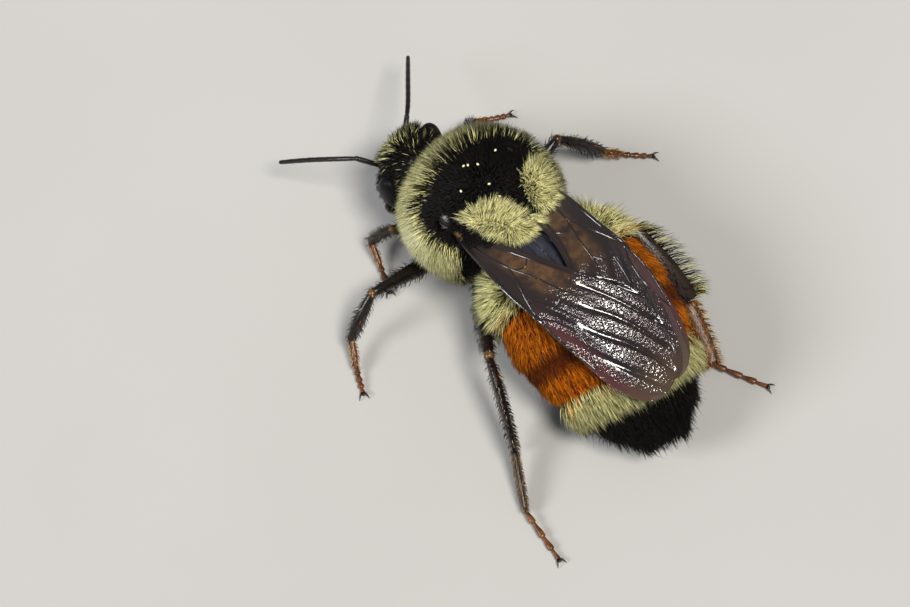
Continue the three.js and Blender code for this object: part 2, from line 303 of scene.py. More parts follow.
# %% [markdown]
# ## The colours of the coat
# Three colours of hair make the pattern: straw yellow, orange and black. Every point of the skin and
# every hair carries its share of each, and of a painted shade where the orange bands meet, in one value
# per point, so skin and coat cannot disagree. The hair material paints shade on a hair towards its root
# and a painted highlight on its pale tip, and gives each one its own tone.

# %% Hair and skin materials
# The roots' colours are painted shade, dark where the hairs shade one another. The tips' colours are
# painted highlights.
STRAW_SHADED_ROOT, STRAW, STRAW_LIT_TIP = (0.07, 0.06, 0.012), (0.80, 0.76, 0.34), (0.98, 0.96, 0.66)
ORANGE_SHADED_ROOT, ORANGE, ORANGE_LIT_TIP = (0.10, 0.010, 0.0005), (0.78, 0.20, 0.003), (0.98, 0.46, 0.025)
BLACK_SHADED_ROOT, BLACK = (0.002, 0.002, 0.002), (0.008, 0.007, 0.006)
# A painted shade where the two orange bands meet and one plate overlaps the next. A quarter of it also
# tints the band before.
SEAM_SHADE_AND_TINT = (0.085, 0.014, 0.002)


def marked_colour(recipe, lightness):
    """Black, with yellow, orange and a painted seam shade laid over it by the shares in the marking. Each
    colour runs from painted shade at its root through its own tone to a painted highlight at its pale tip
    as the lightness goes from 0 to 1.3."""
    yellow, orange, seam_shade_and_tint = recipe.parts(recipe.fact("marking", "Color"))
    # The first ramp runs from painted shade at the root to the hair's own colour. The second runs on to a
    # painted highlight at the tip.
    body, pale = lightness.ramp(0.05, 0.85), lightness.ramp(0.80, 1.30)
    straw = recipe.mix(pale, recipe.mix(body, STRAW_SHADED_ROOT, STRAW), STRAW_LIT_TIP)
    amber = recipe.mix(pale, recipe.mix(body, ORANGE_SHADED_ROOT, ORANGE), ORANGE_LIT_TIP)
    colour = recipe.mix(yellow, recipe.mix(body, BLACK_SHADED_ROOT, BLACK), straw)
    return recipe.mix(seam_shade_and_tint, recipe.mix(orange, colour, amber), SEAM_SHADE_AND_TINT)


def hair_material(name):
    """Hair: painted shade towards the root, a painted highlight on the pale tip, a soft shine and each
    hair's own tone.
    """
    recipe = Recipe(name, Specular_IOR_Level=0.14)
    tip = recipe.fact("along")
    tone = recipe.fact("tone")
    # Lightness is painted shade towards the root plus each hair's tone, which also carries a painted
    # highlight near the shoulders.
    lightness = tip * 0.65 + tone * 1.0 + recipe.noise(2.5) * 0.4 - 0.62
    return recipe.set(Base_Color=marked_colour(recipe, lightness), Roughness=0.6 - tip * 0.15)


coats = {word: hair_material(f"hair_{word}") for word in ("yellow", "orange", "black")}

recipe = Recipe("skin", Specular_IOR_Level=0.5)
grain = recipe.noise(9.0, 4.0)
pits = recipe.node("ShaderNodeTexVoronoi", None, {"Vector": recipe.place, "Scale": 11 / MM})
base = recipe.mix(0.86, marked_colour(recipe, grain * 0.3), (0.006, 0.005, 0.005))
recipe.bump(pits.ramp(0.0, 0.45) * 0.7 + grain * 0.3, 0.02, 0.6)
skin_material = recipe.set(Base_Color=base, Roughness=0.3 + grain * 0.25)

# %% [markdown]
# ## One skin from face to tail
# A real bee's body is three capsules on a thin stalk. Here it is one surface with two parameters: the
# first runs from the face to the tail, the second once round the body. Rings are written down for the
# head, thorax and abdomen as shrunken copies of the CAD eggs, by the depth of the coat, and a smooth
# curve is drawn through matching points of all rings, which rounds off the neck and the waist.

# %% Body rings
AROUND = 144
TURN = 2 * np.pi * np.arange(AROUND) / AROUND - np.pi / 2    # 0 is under the body, half way is on top
HEAD_AT, HEAD_WAY = np.array([0.70, -3.43, 3.6]), turned(14, 8)
THORAX_AT, THORAX_WAY = np.array([-0.2, 0.1, 4.4]), turned(8)
ABDOMEN_LINE = np.array([[-0.55, 2.5, 3.8], [-0.7, 7.4, 3.7], [0.95, 14.0, 1.9]])
ABDOMEN_COAT = [1.0, 0.85, 0.5, 0.45, 0.55, 0.7, 0.75, 0.5]
ABDOMEN_WIDE = np.array([2.4, 3.5, 3.85, 4.0, 3.95, 3.5, 2.6, 0.9])
ABDOMEN_HIGH = np.array([1.9, 2.7, 2.95, 2.95, 2.75, 2.35, 1.7, 0.7])


def egg_rings(at, way, half, above, below, length, leans, blunt, taper=0.0, over=0.0):
    """Rings of an egg along its own Y axis: a ring's girth is the sine of its lean to a blunt power,
    its height has one size above and one below, taper narrows it downwards and over leans its back."""
    lean = np.radians(leans)[:, None]
    girth = np.sin(lean) ** blunt
    rise = np.where(np.sin(TURN) > 0, above, below)
    narrow = 1 - taper * np.maximum(-np.sin(TURN) * girth, 0) ** 1.5
    x = -half * girth * narrow * np.cos(TURN)
    y = -length * np.cos(lean) * np.ones_like(x)
    z = rise * girth * np.sin(TURN)
    y = y + over * np.maximum(z, 0) * ease(0.0, 1.0, -np.cos(lean))
    return np.stack([x, y, z], -1) @ way.T + at


def abdomen_rings(t):
    """Ovals square to a bent line: the line is a quadratic through start, pull and tip."""
    t = np.asarray(t, float)[:, None]
    start, pull, tip = ABDOMEN_LINE
    centre = (1 - t) ** 2 * start + 2 * t * (1 - t) * pull + t**2 * tip
    heading = unit(2 * (1 - t) * (pull - start) + 2 * t * (tip - pull))
    side = unit(np.cross([0, 0, 1], heading))
    up = np.cross(heading, side)
    coat = along(ABDOMEN_COAT, t[:, 0])
    wide = (along(ABDOMEN_WIDE, t[:, 0]) - coat)[:, None, None]
    high = (along(ABDOMEN_HIGH, t[:, 0]) - coat)[:, None, None]
    across = side[:, None] * np.cos(TURN)[None, :, None] * wide
    return centre[:, None] + across + up[:, None] * np.sin(TURN)[None, :, None] * high


head_leans = np.array([3, 14, 28, 44, 62, 80, 98, 115, 130, 143.0])
thorax_leans = np.array([24, 38, 54, 72, 90, 108, 126, 142, 154.0])
abdomen_shares = np.array([0.035, 0.07, 0.12, 0.19, 0.28, 0.38, 0.48, 0.58, 0.68, 0.78, 0.86, 0.92, 0.955])
head_rings = egg_rings(HEAD_AT, HEAD_WAY, 1.85, 1.95, 2.4, 1.02, head_leans, 0.75, 0.3)
thorax_rings = egg_rings(THORAX_AT, THORAX_WAY, 3.05, 2.25, 2.2, 2.62, thorax_leans, 0.8, over=0.42)
waist = rings_on(np.array([[-0.5, 2.45, 3.7], [-0.52, 2.62, 3.65]]), 0.8, 0.7, (0, 0, 1), AROUND)
neck = rings_on(np.array([[0.5, -2.45, 3.75], [0.42, -2.25, 3.8]]), 0.95, 1.0, (0, 0, 1), AROUND)


def from_below(rings):
    """The same rings, starting from the point under the body and going up on the right."""
    return np.roll(rings, AROUND // 4, axis=1)


key_rings = np.concatenate([
    head_rings, from_below(neck)[:1], thorax_rings, from_below(waist)[:1], abdomen_rings(abdomen_shares),
])
key_station = np.concatenate([
    head_leans / 180, [1.0], 1 + thorax_leans / 180, [2.0], 2 + abdomen_shares,
])

# %% [markdown]
# The rings are unevenly spaced, so the curve through them is drawn against the distance travelled. Then
# the details are pushed out or in along the surface's own normal: the plates of the abdomen overlap like
# roof tiles, and the face gets its shield, its feeler sockets and a groove down the brow.

# %% The finished skin
ROWS = 420
step = np.linalg.norm(np.diff(key_rings, axis=0), axis=-1).mean(1)
travelled = np.concatenate([[0], np.cumsum(step)]) / step.sum()


def through(knots, values, at):
    """A smooth curve through values at uneven knots: a cubic with slopes from the neighbours."""
    values = np.asarray(values, float)
    slope = np.gradient(values, knots, axis=0)
    i = np.clip(np.searchsorted(knots, at, side="right") - 1, 0, len(knots) - 2)
    gap = knots[i + 1] - knots[i]
    f = ((at - knots[i]) / gap).reshape((-1,) + (1,) * (values.ndim - 1))
    gap = gap.reshape(f.shape)
    rise, fall = 3 * f**2 - 2 * f**3, 2 * f**3 - 3 * f**2 + 1
    inner = gap * slope[i] * (f**3 - 2 * f**2 + f) + gap * slope[i + 1] * (f**3 - f**2)
    return values[i] * fall + values[i + 1] * rise + inner


def normals_of(grid):
    """Unit normals of a closed grid: the way along it crossed with the way round it, times the sign
    that makes them point away from the middle line."""
    down = np.gradient(grid, axis=0)
    wrapped = np.concatenate([grid[:, -1:], grid, grid[:, :1]], 1)
    normal = unit(np.cross(wrapped[:, 2:] - wrapped[:, :-2], down))
    return normal * np.sign(np.sum(normal * (grid - grid.mean(1, keepdims=True))))


def dome(x, y, at_x, at_y, wide_x, wide_y):
    """A soft round hill of height 1: the exponential of minus the squared distance."""
    return np.exp(-(((x - at_x) / wide_x) ** 2) - ((y - at_y) / wide_y) ** 2)


# face relief: (height, place across, place up, half width, half height), in mm
SHIELD, LIP = (0.20, 0, -0.85, 0.75, 0.5), (0.10, 0, -1.65, 0.5, 0.25)
BROW_SWELL = (0.10, 0, 0.35, 0.9, 0.6)
SOCKET_DEPTH, SOCKET_OUT, SOCKET_UP, SOCKET_HALF = 0.16, 0.5, 0.12, 0.17
BROW_GROOVE, LIP_GROOVE = (-0.07, 0, 0.9, 0.06, 0.7), (-0.08, 0, -1.33, 0.8, 0.05)
PLATE_ENDS, PLATE_RISE, PLATE_SINK = [0.24, 0.44, 0.62, 0.77, 0.88], 0.07, 0.02

share = np.linspace(0, 1, ROWS)
body = through(travelled, key_rings, share)
station = np.interp(share, travelled, key_station)
body_normal = normals_of(body)

in_head = (body - HEAD_AT) @ HEAD_WAY
x, z = in_head[..., 0], in_head[..., 2]
front = (in_head[..., 1] < 0) * ease(0.0, 0.55, -in_head[..., 1]) * (station[:, None] < 0.9)
relief = 0.0
for height, *hill in (SHIELD, LIP, BROW_SWELL):
    relief = relief + height * dome(x, z, *hill)
sockets = [dome(x, z, out, SOCKET_UP, SOCKET_HALF, SOCKET_HALF) for out in (SOCKET_OUT, -SOCKET_OUT)]
relief = relief - SOCKET_DEPTH * sum(sockets)
for height, *groove in (BROW_GROOVE, LIP_GROOVE):
    relief = relief + height * dome(x, z, *groove)

plates = np.zeros(ROWS)
for end in PLATE_ENDS:
    past = station - 2 - end
    plates = plates + PLATE_RISE * ease(-0.12, 0.0, past) * (past < 0)
    plates = plates - PLATE_SINK * (past > 0) * ease(0.05, 0.0, past)
body = body + body_normal * (front * relief + plates[:, None])[..., None]
body_normal = normals_of(body)
way_back = unit(np.gradient(body, axis=0))
print("skin rings:", body.shape, "length mm:", round(float(np.ptp(body[..., 1])), 2))

# %% [markdown]
# ## Where each colour lies
# The pattern is the species' own: a yellow collar that runs down the flanks, a black disc between the
# wing roots, two yellow patches behind it with a black notch between them, a yellow first band, two
# orange bands with a painted shade where they meet and one plate overlaps the next, a yellow fourth band
# and a black tail. The underside is dark.
# A share of each colour is worked out for any point of the body from simple distances in millimetres.

# %% Markings
BANDS = [0.26, 0.485, 0.65, 0.735]      # shares of the abdomen at which its coloured bands end
BAND_LEAN = 0.035                       # how far the tops of the bands lie back
PATTERN_RIGHT, PATTERN_SKEW = 0.20, 0.115
DISC_FRONT, DISC_BOW = -1.72, 0.09      # front edge of the black disc: its place, and its bow
PATCH_FRONT, NOTCH_LENGTH, NOTCH_HALF = 0.80, 2.6, 0.60
PATCH_MIDDLE, PATCH_HALF = 0.7, (1.95, 2.6)
BROW_AT, BROW_HALF, BROW_SHARE = (-0.2, 1.35), (0.9, 0.6), 0.40


def on_pattern(points):
    """The thorax pattern's own left, back and up, in mm: its middle lies a little to the right of the
    thorax's, and its cross lines run a little forward on the left."""
    local = (points - THORAX_AT) @ THORAX_WAY
    out = local[..., 0] + PATTERN_RIGHT
    return np.stack([out, local[..., 1] + PATTERN_SKEW * out, local[..., 2]], -1)


def thorax_yellow(points):
    """Share of yellow on the thorax: the collar in front of the black disc, the flanks below it, and
    the two patches behind it, which a notch parts. a, b and h are distances out, back and up."""
    place = on_pattern(points)
    a, b, h = np.abs(place[..., 0]), place[..., 1], place[..., 2]
    collar = ease(0.32, -0.26, b - (DISC_FRONT + DISC_BOW * a**2))
    flank = ease(1.15, 0.75, h) * ease(1.6, 1.2, b)
    low = ease(-1.5, -1.0, h)
    front_edge = PATCH_FRONT + NOTCH_LENGTH * np.exp(-((a / NOTCH_HALF) ** 1.3))
    rim = (a / PATCH_HALF[0]) ** 2 + ((b - PATCH_MIDDLE) / PATCH_HALF[1]) ** 2
    patches = ease(-0.14, 0.10, b - front_edge) * ease(1.08, 0.94, rim) * (h > 0.05)
    return np.maximum(np.maximum(collar, flank) * low, patches)


def abdomen_bands(t):
    """Shares of yellow, orange and seam shade at a share of the abdomen. A painted shade darkens the place
    where the two orange bands meet and one plate overlaps the next. A quarter of it spreads over the band
    before as a darker tint."""
    first = ease(BANDS[0] + 0.004, BANDS[0] - 0.004, t)
    fourth = ease(BANDS[2] - 0.012, BANDS[2] + 0.012, t) * ease(BANDS[3] + 0.01, BANDS[3] - 0.01, t)
    orange = ease(BANDS[0] - 0.004, BANDS[0] + 0.004, t) * ease(BANDS[2] + 0.012, BANDS[2] - 0.012, t)
    # painted shade where the two orange bands meet
    seam = 0.92 * ease(BANDS[1] - 0.055, BANDS[1] - 0.01, t) * ease(BANDS[1] + 0.085, BANDS[1] + 0.025, t)
    # a darker tint over the band before
    spread = 0.25 * ease(BANDS[1] + 0.05, BANDS[1] - 0.12, t)
    return np.maximum(first, fourth), orange, np.maximum(seam, spread)


def markings(points, stations, turns):
    """Shares of yellow, orange and painted seam shade at points of the skin, from the place on the thorax
    and the share along the abdomen. turns is 0 under the body and 0.5 on top."""
    top = ease(0.17, 0.23, np.minimum(turns, 1 - turns))
    t = stations - 2 - BAND_LEAN * np.maximum(-np.cos(2 * np.pi * turns), 0)
    band_yellow, orange, seam_shade_and_tint = abdomen_bands(t)
    on_thorax = (stations > 1.0) & (stations < 2.0)
    on_abdomen = stations >= 2.0
    yellow = np.where(on_thorax, thorax_yellow(points), np.where(on_abdomen, band_yellow * top, 0))
    orange = np.where(on_abdomen, orange * top, 0)
    # the painted seam shade lies only on orange
    seam_shade_and_tint = np.where(on_abdomen, seam_shade_and_tint * top * orange, 0)
    face = (points - HEAD_AT) @ HEAD_WAY
    brow = dome(face[..., 0], face[..., 2], *BROW_AT, *BROW_HALF) * (face[..., 1] < 0.2)
    yellow = np.where(stations < 1.0, BROW_SHARE * ease(0.30, 0.6, brow), yellow)
    return np.stack([yellow, orange, seam_shade_and_tint], -1)


turns_grid = np.broadcast_to(np.arange(AROUND) / AROUND, (ROWS, AROUND))
station_grid = np.broadcast_to(station[:, None], (ROWS, AROUND))
body_marking = markings(body, station_grid, turns_grid).reshape(-1, 3)
body_marking = np.concatenate([body_marking, body_marking[:1], body_marking[-1:]])


def tube_uv(rows, count):
    """Unwrap of a tube: the first direction is the share along it, the second the share round it."""
    i, j = np.meshgrid(np.arange(rows - 1), np.arange(count), indexing="ij")
    square = [(0, 0), (0, 1), (1, 1), (1, 0)]
    corners = np.stack([np.stack([i + down, j + over], -1) for down, over in square], 2)
    corners = corners.reshape(-1, 2) / [rows - 1, count]
    j = np.arange(count)
    fans = []
    for row, order in ((0.0, (j + 1, j)), (1.0, (j, j + 1))):
        inner = np.stack([np.full(count, row), (j + 0.5) / count], -1)
        fans.append(np.stack([inner, *(np.stack([np.full(count, row), o / count], -1) for o in order)], 1))
    return corners.reshape(-1, 4, 2), np.concatenate(fans)


skin_shape = tube(body)
quads_uv, fans_uv = tube_uv(ROWS, AROUND)
if not np.array_equal(skin_shape[1][0][0], [0, 1, AROUND + 1, AROUND]):
    quads_uv, fans_uv = quads_uv[:, ::-1], fans_uv[:, ::-1]
skin_uv = np.concatenate([quads_uv.reshape(-1, 2), fans_uv.reshape(-1, 2)])
FLESH = ["thorax", "head"] + [f"abdomen_{k}" for k in range(1, 7)]
piece("skin", skin_shape, skin_material, "coat_black", FLESH, skin_uv, marking=body_marking)

# %% [markdown]
# ## Hard parts: the shell and eye materials
# Legs, feelers, jaws and the scales over the wing roots are bare shell: black-brown, polished, with fine
# pits, and orange-brown towards the feet. A value called tint on each piece says how far the shell has
# turned from black to orange-brown, so one recipe serves for all of them.

# %% Shell and eye materials
SHELL, AMBER, KNEE = (0.007, 0.005, 0.004), (0.16, 0.055, 0.008), (0.26, 0.13, 0.03)


def shell_material(name, amber):
    """Polished shell: black-brown turning amber by the tint, mottled by soft noise, with fine pits."""
    recipe = Recipe(name, Specular_IOR_Level=0.36, Coat_Roughness=0.2)
    tint = recipe.fact("tint")
    mottle = recipe.noise(3.0, 4.0)
    fine = recipe.noise(26.0, 3.0)
    share = (tint + mottle * 0.35 - 0.17).ramp(0.0, 1.0)
    colour = recipe.mix(share, SHELL, recipe.mix(mottle.ramp(0.3, 0.7), amber, (0.045, 0.014, 0.005)))
    recipe.bump(fine * 0.6 + mottle * 0.4, 0.02, 0.7)
    return recipe.set(Base_Color=colour, Roughness=0.14 + fine * 0.22, Coat_Weight=mottle * 0.2)


shell_matter = shell_material("shell", KNEE)
foot_matter = shell_material("foot", AMBER)

recipe = Recipe("eye", Specular_IOR_Level=0.10)
facets = recipe.node("ShaderNodeTexVoronoi", None, {"Vector": recipe.place, "Scale": 22 / MM})
cloud = recipe.noise(1.2, 3.0)
recipe.bump(1.0 - facets, 0.012, 0.7)
eye_colour = recipe.mix(cloud.ramp(0.3, 0.75), (0.003, 0.003, 0.004), (0.012, 0.008, 0.007))
eye_matter = recipe.set(Base_Color=eye_colour, Roughness=0.30 + facets * 0.2)

# %% [markdown]
# ## Eyes, jaws and tongue
# A compound eye is a long oval let into the side of the head. The three small eyes on the crown are
# glassy beads. The jaws cross under the face shield, and the folded tongue lies back under the head.

# %% Head parts
def on_head(*place):
    """A point given left, back and up from the middle of the head."""
    return HEAD_AT + HEAD_WAY @ np.array(place, float)


def on_thorax(*place):
    """A point given left, back and up from the middle of the thorax."""
    return THORAX_AT + THORAX_WAY @ np.array(place, float)


def nearest_on_body(point):
    """The skin's grid point closest to a place, and the normal there."""
    gap = np.linalg.norm(body - point, axis=-1)
    i, j = np.unravel_index(gap.argmin(), gap.shape)
    return body[i, j], body_normal[i, j]


SIDES = {"left": 1, "right": -1}
EYE_HALF, EYE_OUT, EYE_BACK, EYE_UP, EYE_LEAN = np.array([0.52, 0.64, 1.30]), 1.54, -0.15, 0.42, 11
eye_frames = {}
for word, side in SIDES.items():
    way = HEAD_WAY @ turned(0, 0, side * EYE_LEAN)
    at = on_head(side * EYE_OUT, EYE_BACK, EYE_UP)
    eye_frames[word] = (at, way)
    shape = tube(egg(EYE_HALF, 48, 64) @ way.T + at)
    piece(f"eye_{word}", shape, eye_matter, "eye", [f"eye_{word}"])

SMALL_EYE, SMALL_EYES = np.full(3, 0.13), [(0.0, -0.25), (0.34, 0.08), (-0.34, 0.08)]
beads = []
for out, back in SMALL_EYES:
    at, normal = nearest_on_body(on_head(out, back, 1.95))
    beads.append(tube(egg(SMALL_EYE, 12, 18) + at - 0.02 * normal))
piece("ocelli", join(*beads), eye_matter, "eye")


def tinted(shapes, *tints):
    """Joins shapes, with one tint, or a tint per point, for each."""
    joined = join(*shapes)
    tint = np.concatenate([np.broadcast_to(t, len(s[0])) for s, t in zip(shapes, tints)])
    return joined, tint.astype(float)


JAW_LINE = [(0.98, -0.62, -1.75), (1.0, -1.0, -2.25), (0.72, -1.22, -2.62), (0.2, -1.3, -2.82)]
JAW_THIN, JAW_BROAD = [0.24, 0.26, 0.2, 0.1], [0.34, 0.33, 0.3, 0.2]
for word, side in SIDES.items():
    joints = np.array([on_head(side * out, back, up) for out, back, up in JAW_LINE])
    blade = tube(limb(joints, JAW_THIN, JAW_BROAD, HEAD_WAY[:, 1]))
    shape, tint = tinted([blade], 0.12)
    piece(f"mandible_{word}", shape, shell_matter, "shell", [f"mandible_{word}"], tint=tint)

# each half of the folded tongue: (share of the distance out, back, up)
TONGUE_OUT = 0.13
TONGUE_LINE = [(1.5, -0.75, -2.15), (1.0, -0.45, -2.6), (1.0, 0.4, -2.7), (0.6, 1.5, -2.45)]
TONGUE_THIN, TONGUE_BROAD = [0.13, 0.12, 0.09, 0.03], [0.22, 0.2, 0.15, 0.04]
tongue = []
for out in (-TONGUE_OUT, TONGUE_OUT):
    line = np.array([on_head(out * spread, back, up) for spread, back, up in TONGUE_LINE])
    tongue.append(tube(limb(line, TONGUE_THIN, TONGUE_BROAD, (0, 0, 1))))
shape, tint = tinted(tongue, 0.25, 0.25)
piece("tongue_sheath", shape, shell_matter, "shell", tint=tint)

# %% [markdown]
# ## Feelers
# A female bee's feeler has twelve joints: a long scape that stands in its socket, a bead, and ten short
# drums that bend away from it. The drums are one line whose girth swells once per drum.

# %% Antennae
FEELERS = {   # elbow, bend and tip
    "left": [[2.45, -5.5, 4.45], [2.95, -6.15, 4.15], [4.5, -8.7, 2.3]],
    "right": [[-0.75, -5.65, 4.35], [-1.4, -6.3, 4.15], [-3.54, -8.73, 2.85]],
}
SCAPE_GIRTH, DRUM_GIRTH, DRUMS = [0.09, 0.125, 0.13], [0.095, 0.115, 0.12, 0.12, 0.115, 0.10], 10


def feeler_socket(side):
    """The place and the normal of the pit that a feeler stands in."""
    return nearest_on_body(on_head(side * SOCKET_OUT, -1.1, SOCKET_UP))


for word, side in SIDES.items():
    elbow, bend, tip = np.array(FEELERS[word])
    root, normal = feeler_socket(side)
    line = np.array([root - 0.05 * normal, (root + elbow) / 2 + [0, 0, 0.05], elbow])
    scape = tube(limb(line, SCAPE_GIRTH, SCAPE_GIRTH))
    t = np.linspace(0.0, 1.0, 130)
    swell = 0.9 + 0.1 * np.abs(np.sin(np.pi * t * DRUMS)) ** 0.5
    ends = np.sqrt(1 - np.abs(2 * t - 1) ** 40)
    girth = along(DRUM_GIRTH, t) * swell * np.maximum(ends, 0.15)
    line = along(np.array([elbow, bend, (bend + tip) / 2 + [0, 0, 0.06], tip]), t)
    flagellum = tube(rings_on(line, girth, girth, (0, 0, 1), 16))
    pedicel = tube(egg((0.125, 0.13, 0.125), 12, 16) + elbow)
    shape, tint = tinted([scape, pedicel, flagellum], 0.0, 0.05, 0.0)
    nodes = [f"antenna_{word}_scape", f"antenna_{word}_flagellum"]
    piece(f"antenna_{word}", shape, shell_matter, "shell", nodes, tint=tint)

# %% [markdown]
# ## Tegulae
# Each wing root is roofed by a small glossy scale, the tegula. It is a flat egg, brown at its rim, with
# two amber hinge plates behind it, all leaning out with the shoulder.

# %% Tegulae
SCALE_HALF, SCALE_AT, SCALE_LEAN = (0.34, 0.46, 0.15), (2.24, -0.20, 1.60), 42
PLATE_HALF, PLATE_AT = (0.17, 0.30, 0.10), (2.36, 0.55, 1.36)
HINGE_HALF, HINGE_STEP = (0.12, 0.16, 0.09), (0.1, 0.42, -0.06)
for word, side in SIDES.items():
    mirror = np.array([side, 1, 1])
    way = THORAX_WAY @ turned(0, 0, side * SCALE_LEAN)
    scale = egg(SCALE_HALF, 28, 40)
    rim = (scale[..., 0] / SCALE_HALF[0]) ** 2 + (scale[..., 1] / SCALE_HALF[1]) ** 2
    rims = np.concatenate([0.6 * np.clip(rim, 0, 1).reshape(-1) ** 3, [0.5, 0.5]])
    plate_at = on_thorax(*(PLATE_AT * mirror))
    hinge_at = THORAX_WAY @ (HINGE_STEP * mirror)
    plate = tube(egg(PLATE_HALF, 16, 24) @ way.T + plate_at)
    hinge = tube(egg(HINGE_HALF, 12, 20) @ way.T + plate_at + hinge_at)
    roof = tube(scale @ way.T + on_thorax(*(SCALE_AT * mirror)))
    shape, tint = tinted([roof, plate, hinge], rims, 0.8, 0.65)
    piece(f"tegula_{word}", shape, shell_matter, "shell", [f"tegula_{word}"], tint=tint)

# %% [markdown]
# ## Legs
# All six legs are the same chain: coxa, small trochanter, femur, tibia, a long first foot joint, four
# short ones and a pair of claws. Only the sizes differ. The hind tibia is broad and flat, the pollen
# basket, with its broad side turned along its own line. Lists give half widths from near to far end.

# %% Leg sizes
LEGS = {
    "front_left": [[0.9, -1.7, 2.1], [1.6, -2.0, 1.2], [3.0, -2.45, 2.5], [3.6, -3.3, 0.95],
                   [3.95, -2.3, 0.42], [4.45, -1.1, 0.2]],
    "front_right": [[-0.7, -2.0, 2.1], [-1.3, -2.6, 1.2], [-2.9, -3.9, 2.3], [-4.1, -4.9, 0.95],
                    [-5.0, -4.7, 0.42], [-6.0, -4.3, 0.2]],
    "middle_left": [[1.3, -0.2, 2.0], [2.2, -0.3, 1.5], [6.05, -0.4, 3.0], [7.65, -0.05, 1.05],
                    [8.3, 1.0, 0.42], [8.8, 2.0, 0.2]],
    "middle_right": [[-1.7, -0.2, 2.0], [-2.5, -0.3, 1.5], [-5.65, -0.7, 3.0], [-7.5, 0.4, 1.05],
                     [-8.45, 0.95, 0.42], [-9.5, 1.85, 0.2]],
    "hind_left": [[0.9, 1.7, 2.0], [1.9, 2.3, 1.5], [4.35, 5.6, 3.35], [5.95, 9.1, 1.25],
                  [7.35, 11.4, 0.45], [7.75, 14.0, 0.2]],
    "hind_right": [[-1.7, 1.5, 2.0], [-2.5, 2.1, 1.6], [-4.75, 5.3, 3.8], [-4.85, 8.95, 1.4],
                   [-3.95, 11.75, 0.5], [-5.1, 14.1, 0.2]],
}
BROAD = {"hind_left": [0.25, 0.2, 1.0], "hind_right": [-0.95, 0.17, 0.26]}
GIRTH = {   # segment: (thin half widths, broad half widths)
    "front": {
        "coxa": ([0.36, 0.42, 0.32], [0.4, 0.46, 0.34]),
        "femur": ([0.22, 0.33, 0.26, 0.2], [0.24, 0.38, 0.3, 0.22]),
        "tibia": ([0.16, 0.22, 0.24, 0.2], [0.18, 0.27, 0.28, 0.24]),
        "basitarsus": ([0.12, 0.14, 0.12], [0.15, 0.18, 0.14]),
    },
    "middle": {
        "coxa": ([0.4, 0.46, 0.34], [0.42, 0.5, 0.36]),
        "femur": ([0.26, 0.36, 0.28, 0.2], [0.3, 0.44, 0.34, 0.24]),
        "tibia": ([0.17, 0.24, 0.26, 0.2], [0.2, 0.32, 0.38, 0.34]),
        "basitarsus": ([0.13, 0.16, 0.12], [0.2, 0.26, 0.18]),
    },
    "hind": {
        "coxa": ([0.45, 0.52, 0.36], [0.5, 0.56, 0.4]),
        "femur": ([0.26, 0.38, 0.32, 0.22], [0.3, 0.48, 0.38, 0.26]),
        "tibia": ([0.18, 0.22, 0.22, 0.2, 0.17], [0.22, 0.44, 0.6, 0.68, 0.66]),
        "basitarsus": ([0.16, 0.17, 0.13], [0.42, 0.44, 0.3]),
    },
}

# %% Leg parts
def cone(start, end, girth, tip=0.25, sag=(0, 0, 0), sides=10, rows=10):
    """A thin spur or claw: a bent line whose half width falls from the root to its tip."""
    start, end = np.asarray(start, float), np.asarray(end, float)
    line = np.array([start, (start + end) / 2 + sag, end])
    return limb(line, [girth, girth * 0.8, girth * tip], [girth, girth * 0.8, girth * tip], (0.3, 0.2, 1),
                rows, sides, 20)


FOOT_JOINT, LAST_JOINT = [0.075, 0.10, 0.145, 0.15], [0.06, 0.08, 0.10, 0.125]   # half widths
CLAW_FORWARD, CLAW_OUT, CLAW_TIP_HEIGHT = 0.34, 0.24, 0.075


def foot_parts(heel, toe):
    """Four foot joints that widen outwards like cups, a pad and two hooked claws."""
    flat = unit((toe - heel) * [1, 1, 0])
    across = np.cross([0, 0, 1], flat)
    middle = heel * 0.45 + toe * 0.55 + [0, 0, -0.02]
    line = along(np.array([heel, middle, toe + [0, 0, 0.02]]), np.linspace(0, 1, 5))
    parts = []
    for k in range(4):
        widths = FOOT_JOINT if k < 3 else LAST_JOINT
        near = line[k] + (line[k] - line[k + 1]) * 0.1
        cup = np.array([near, (near + line[k + 1]) / 2, line[k + 1]])
        parts.append(limb(cup, np.array(widths) * 0.75, widths, across, 14, 14, 10))
    parts.append(egg((0.09, 0.12, 0.06), 8, 12) + toe + flat * 0.07 + [0, 0, -0.02])
    for side in (-1, 1):
        start = toe + across * side * 0.06 + [0, 0, 0.02]
        end = toe + flat * CLAW_FORWARD + across * side * CLAW_OUT
        end[2] = CLAW_TIP_HEIGHT
        parts.append(cone(start, end, 0.045, 0.2, [0, 0, 0.1]))
    return parts


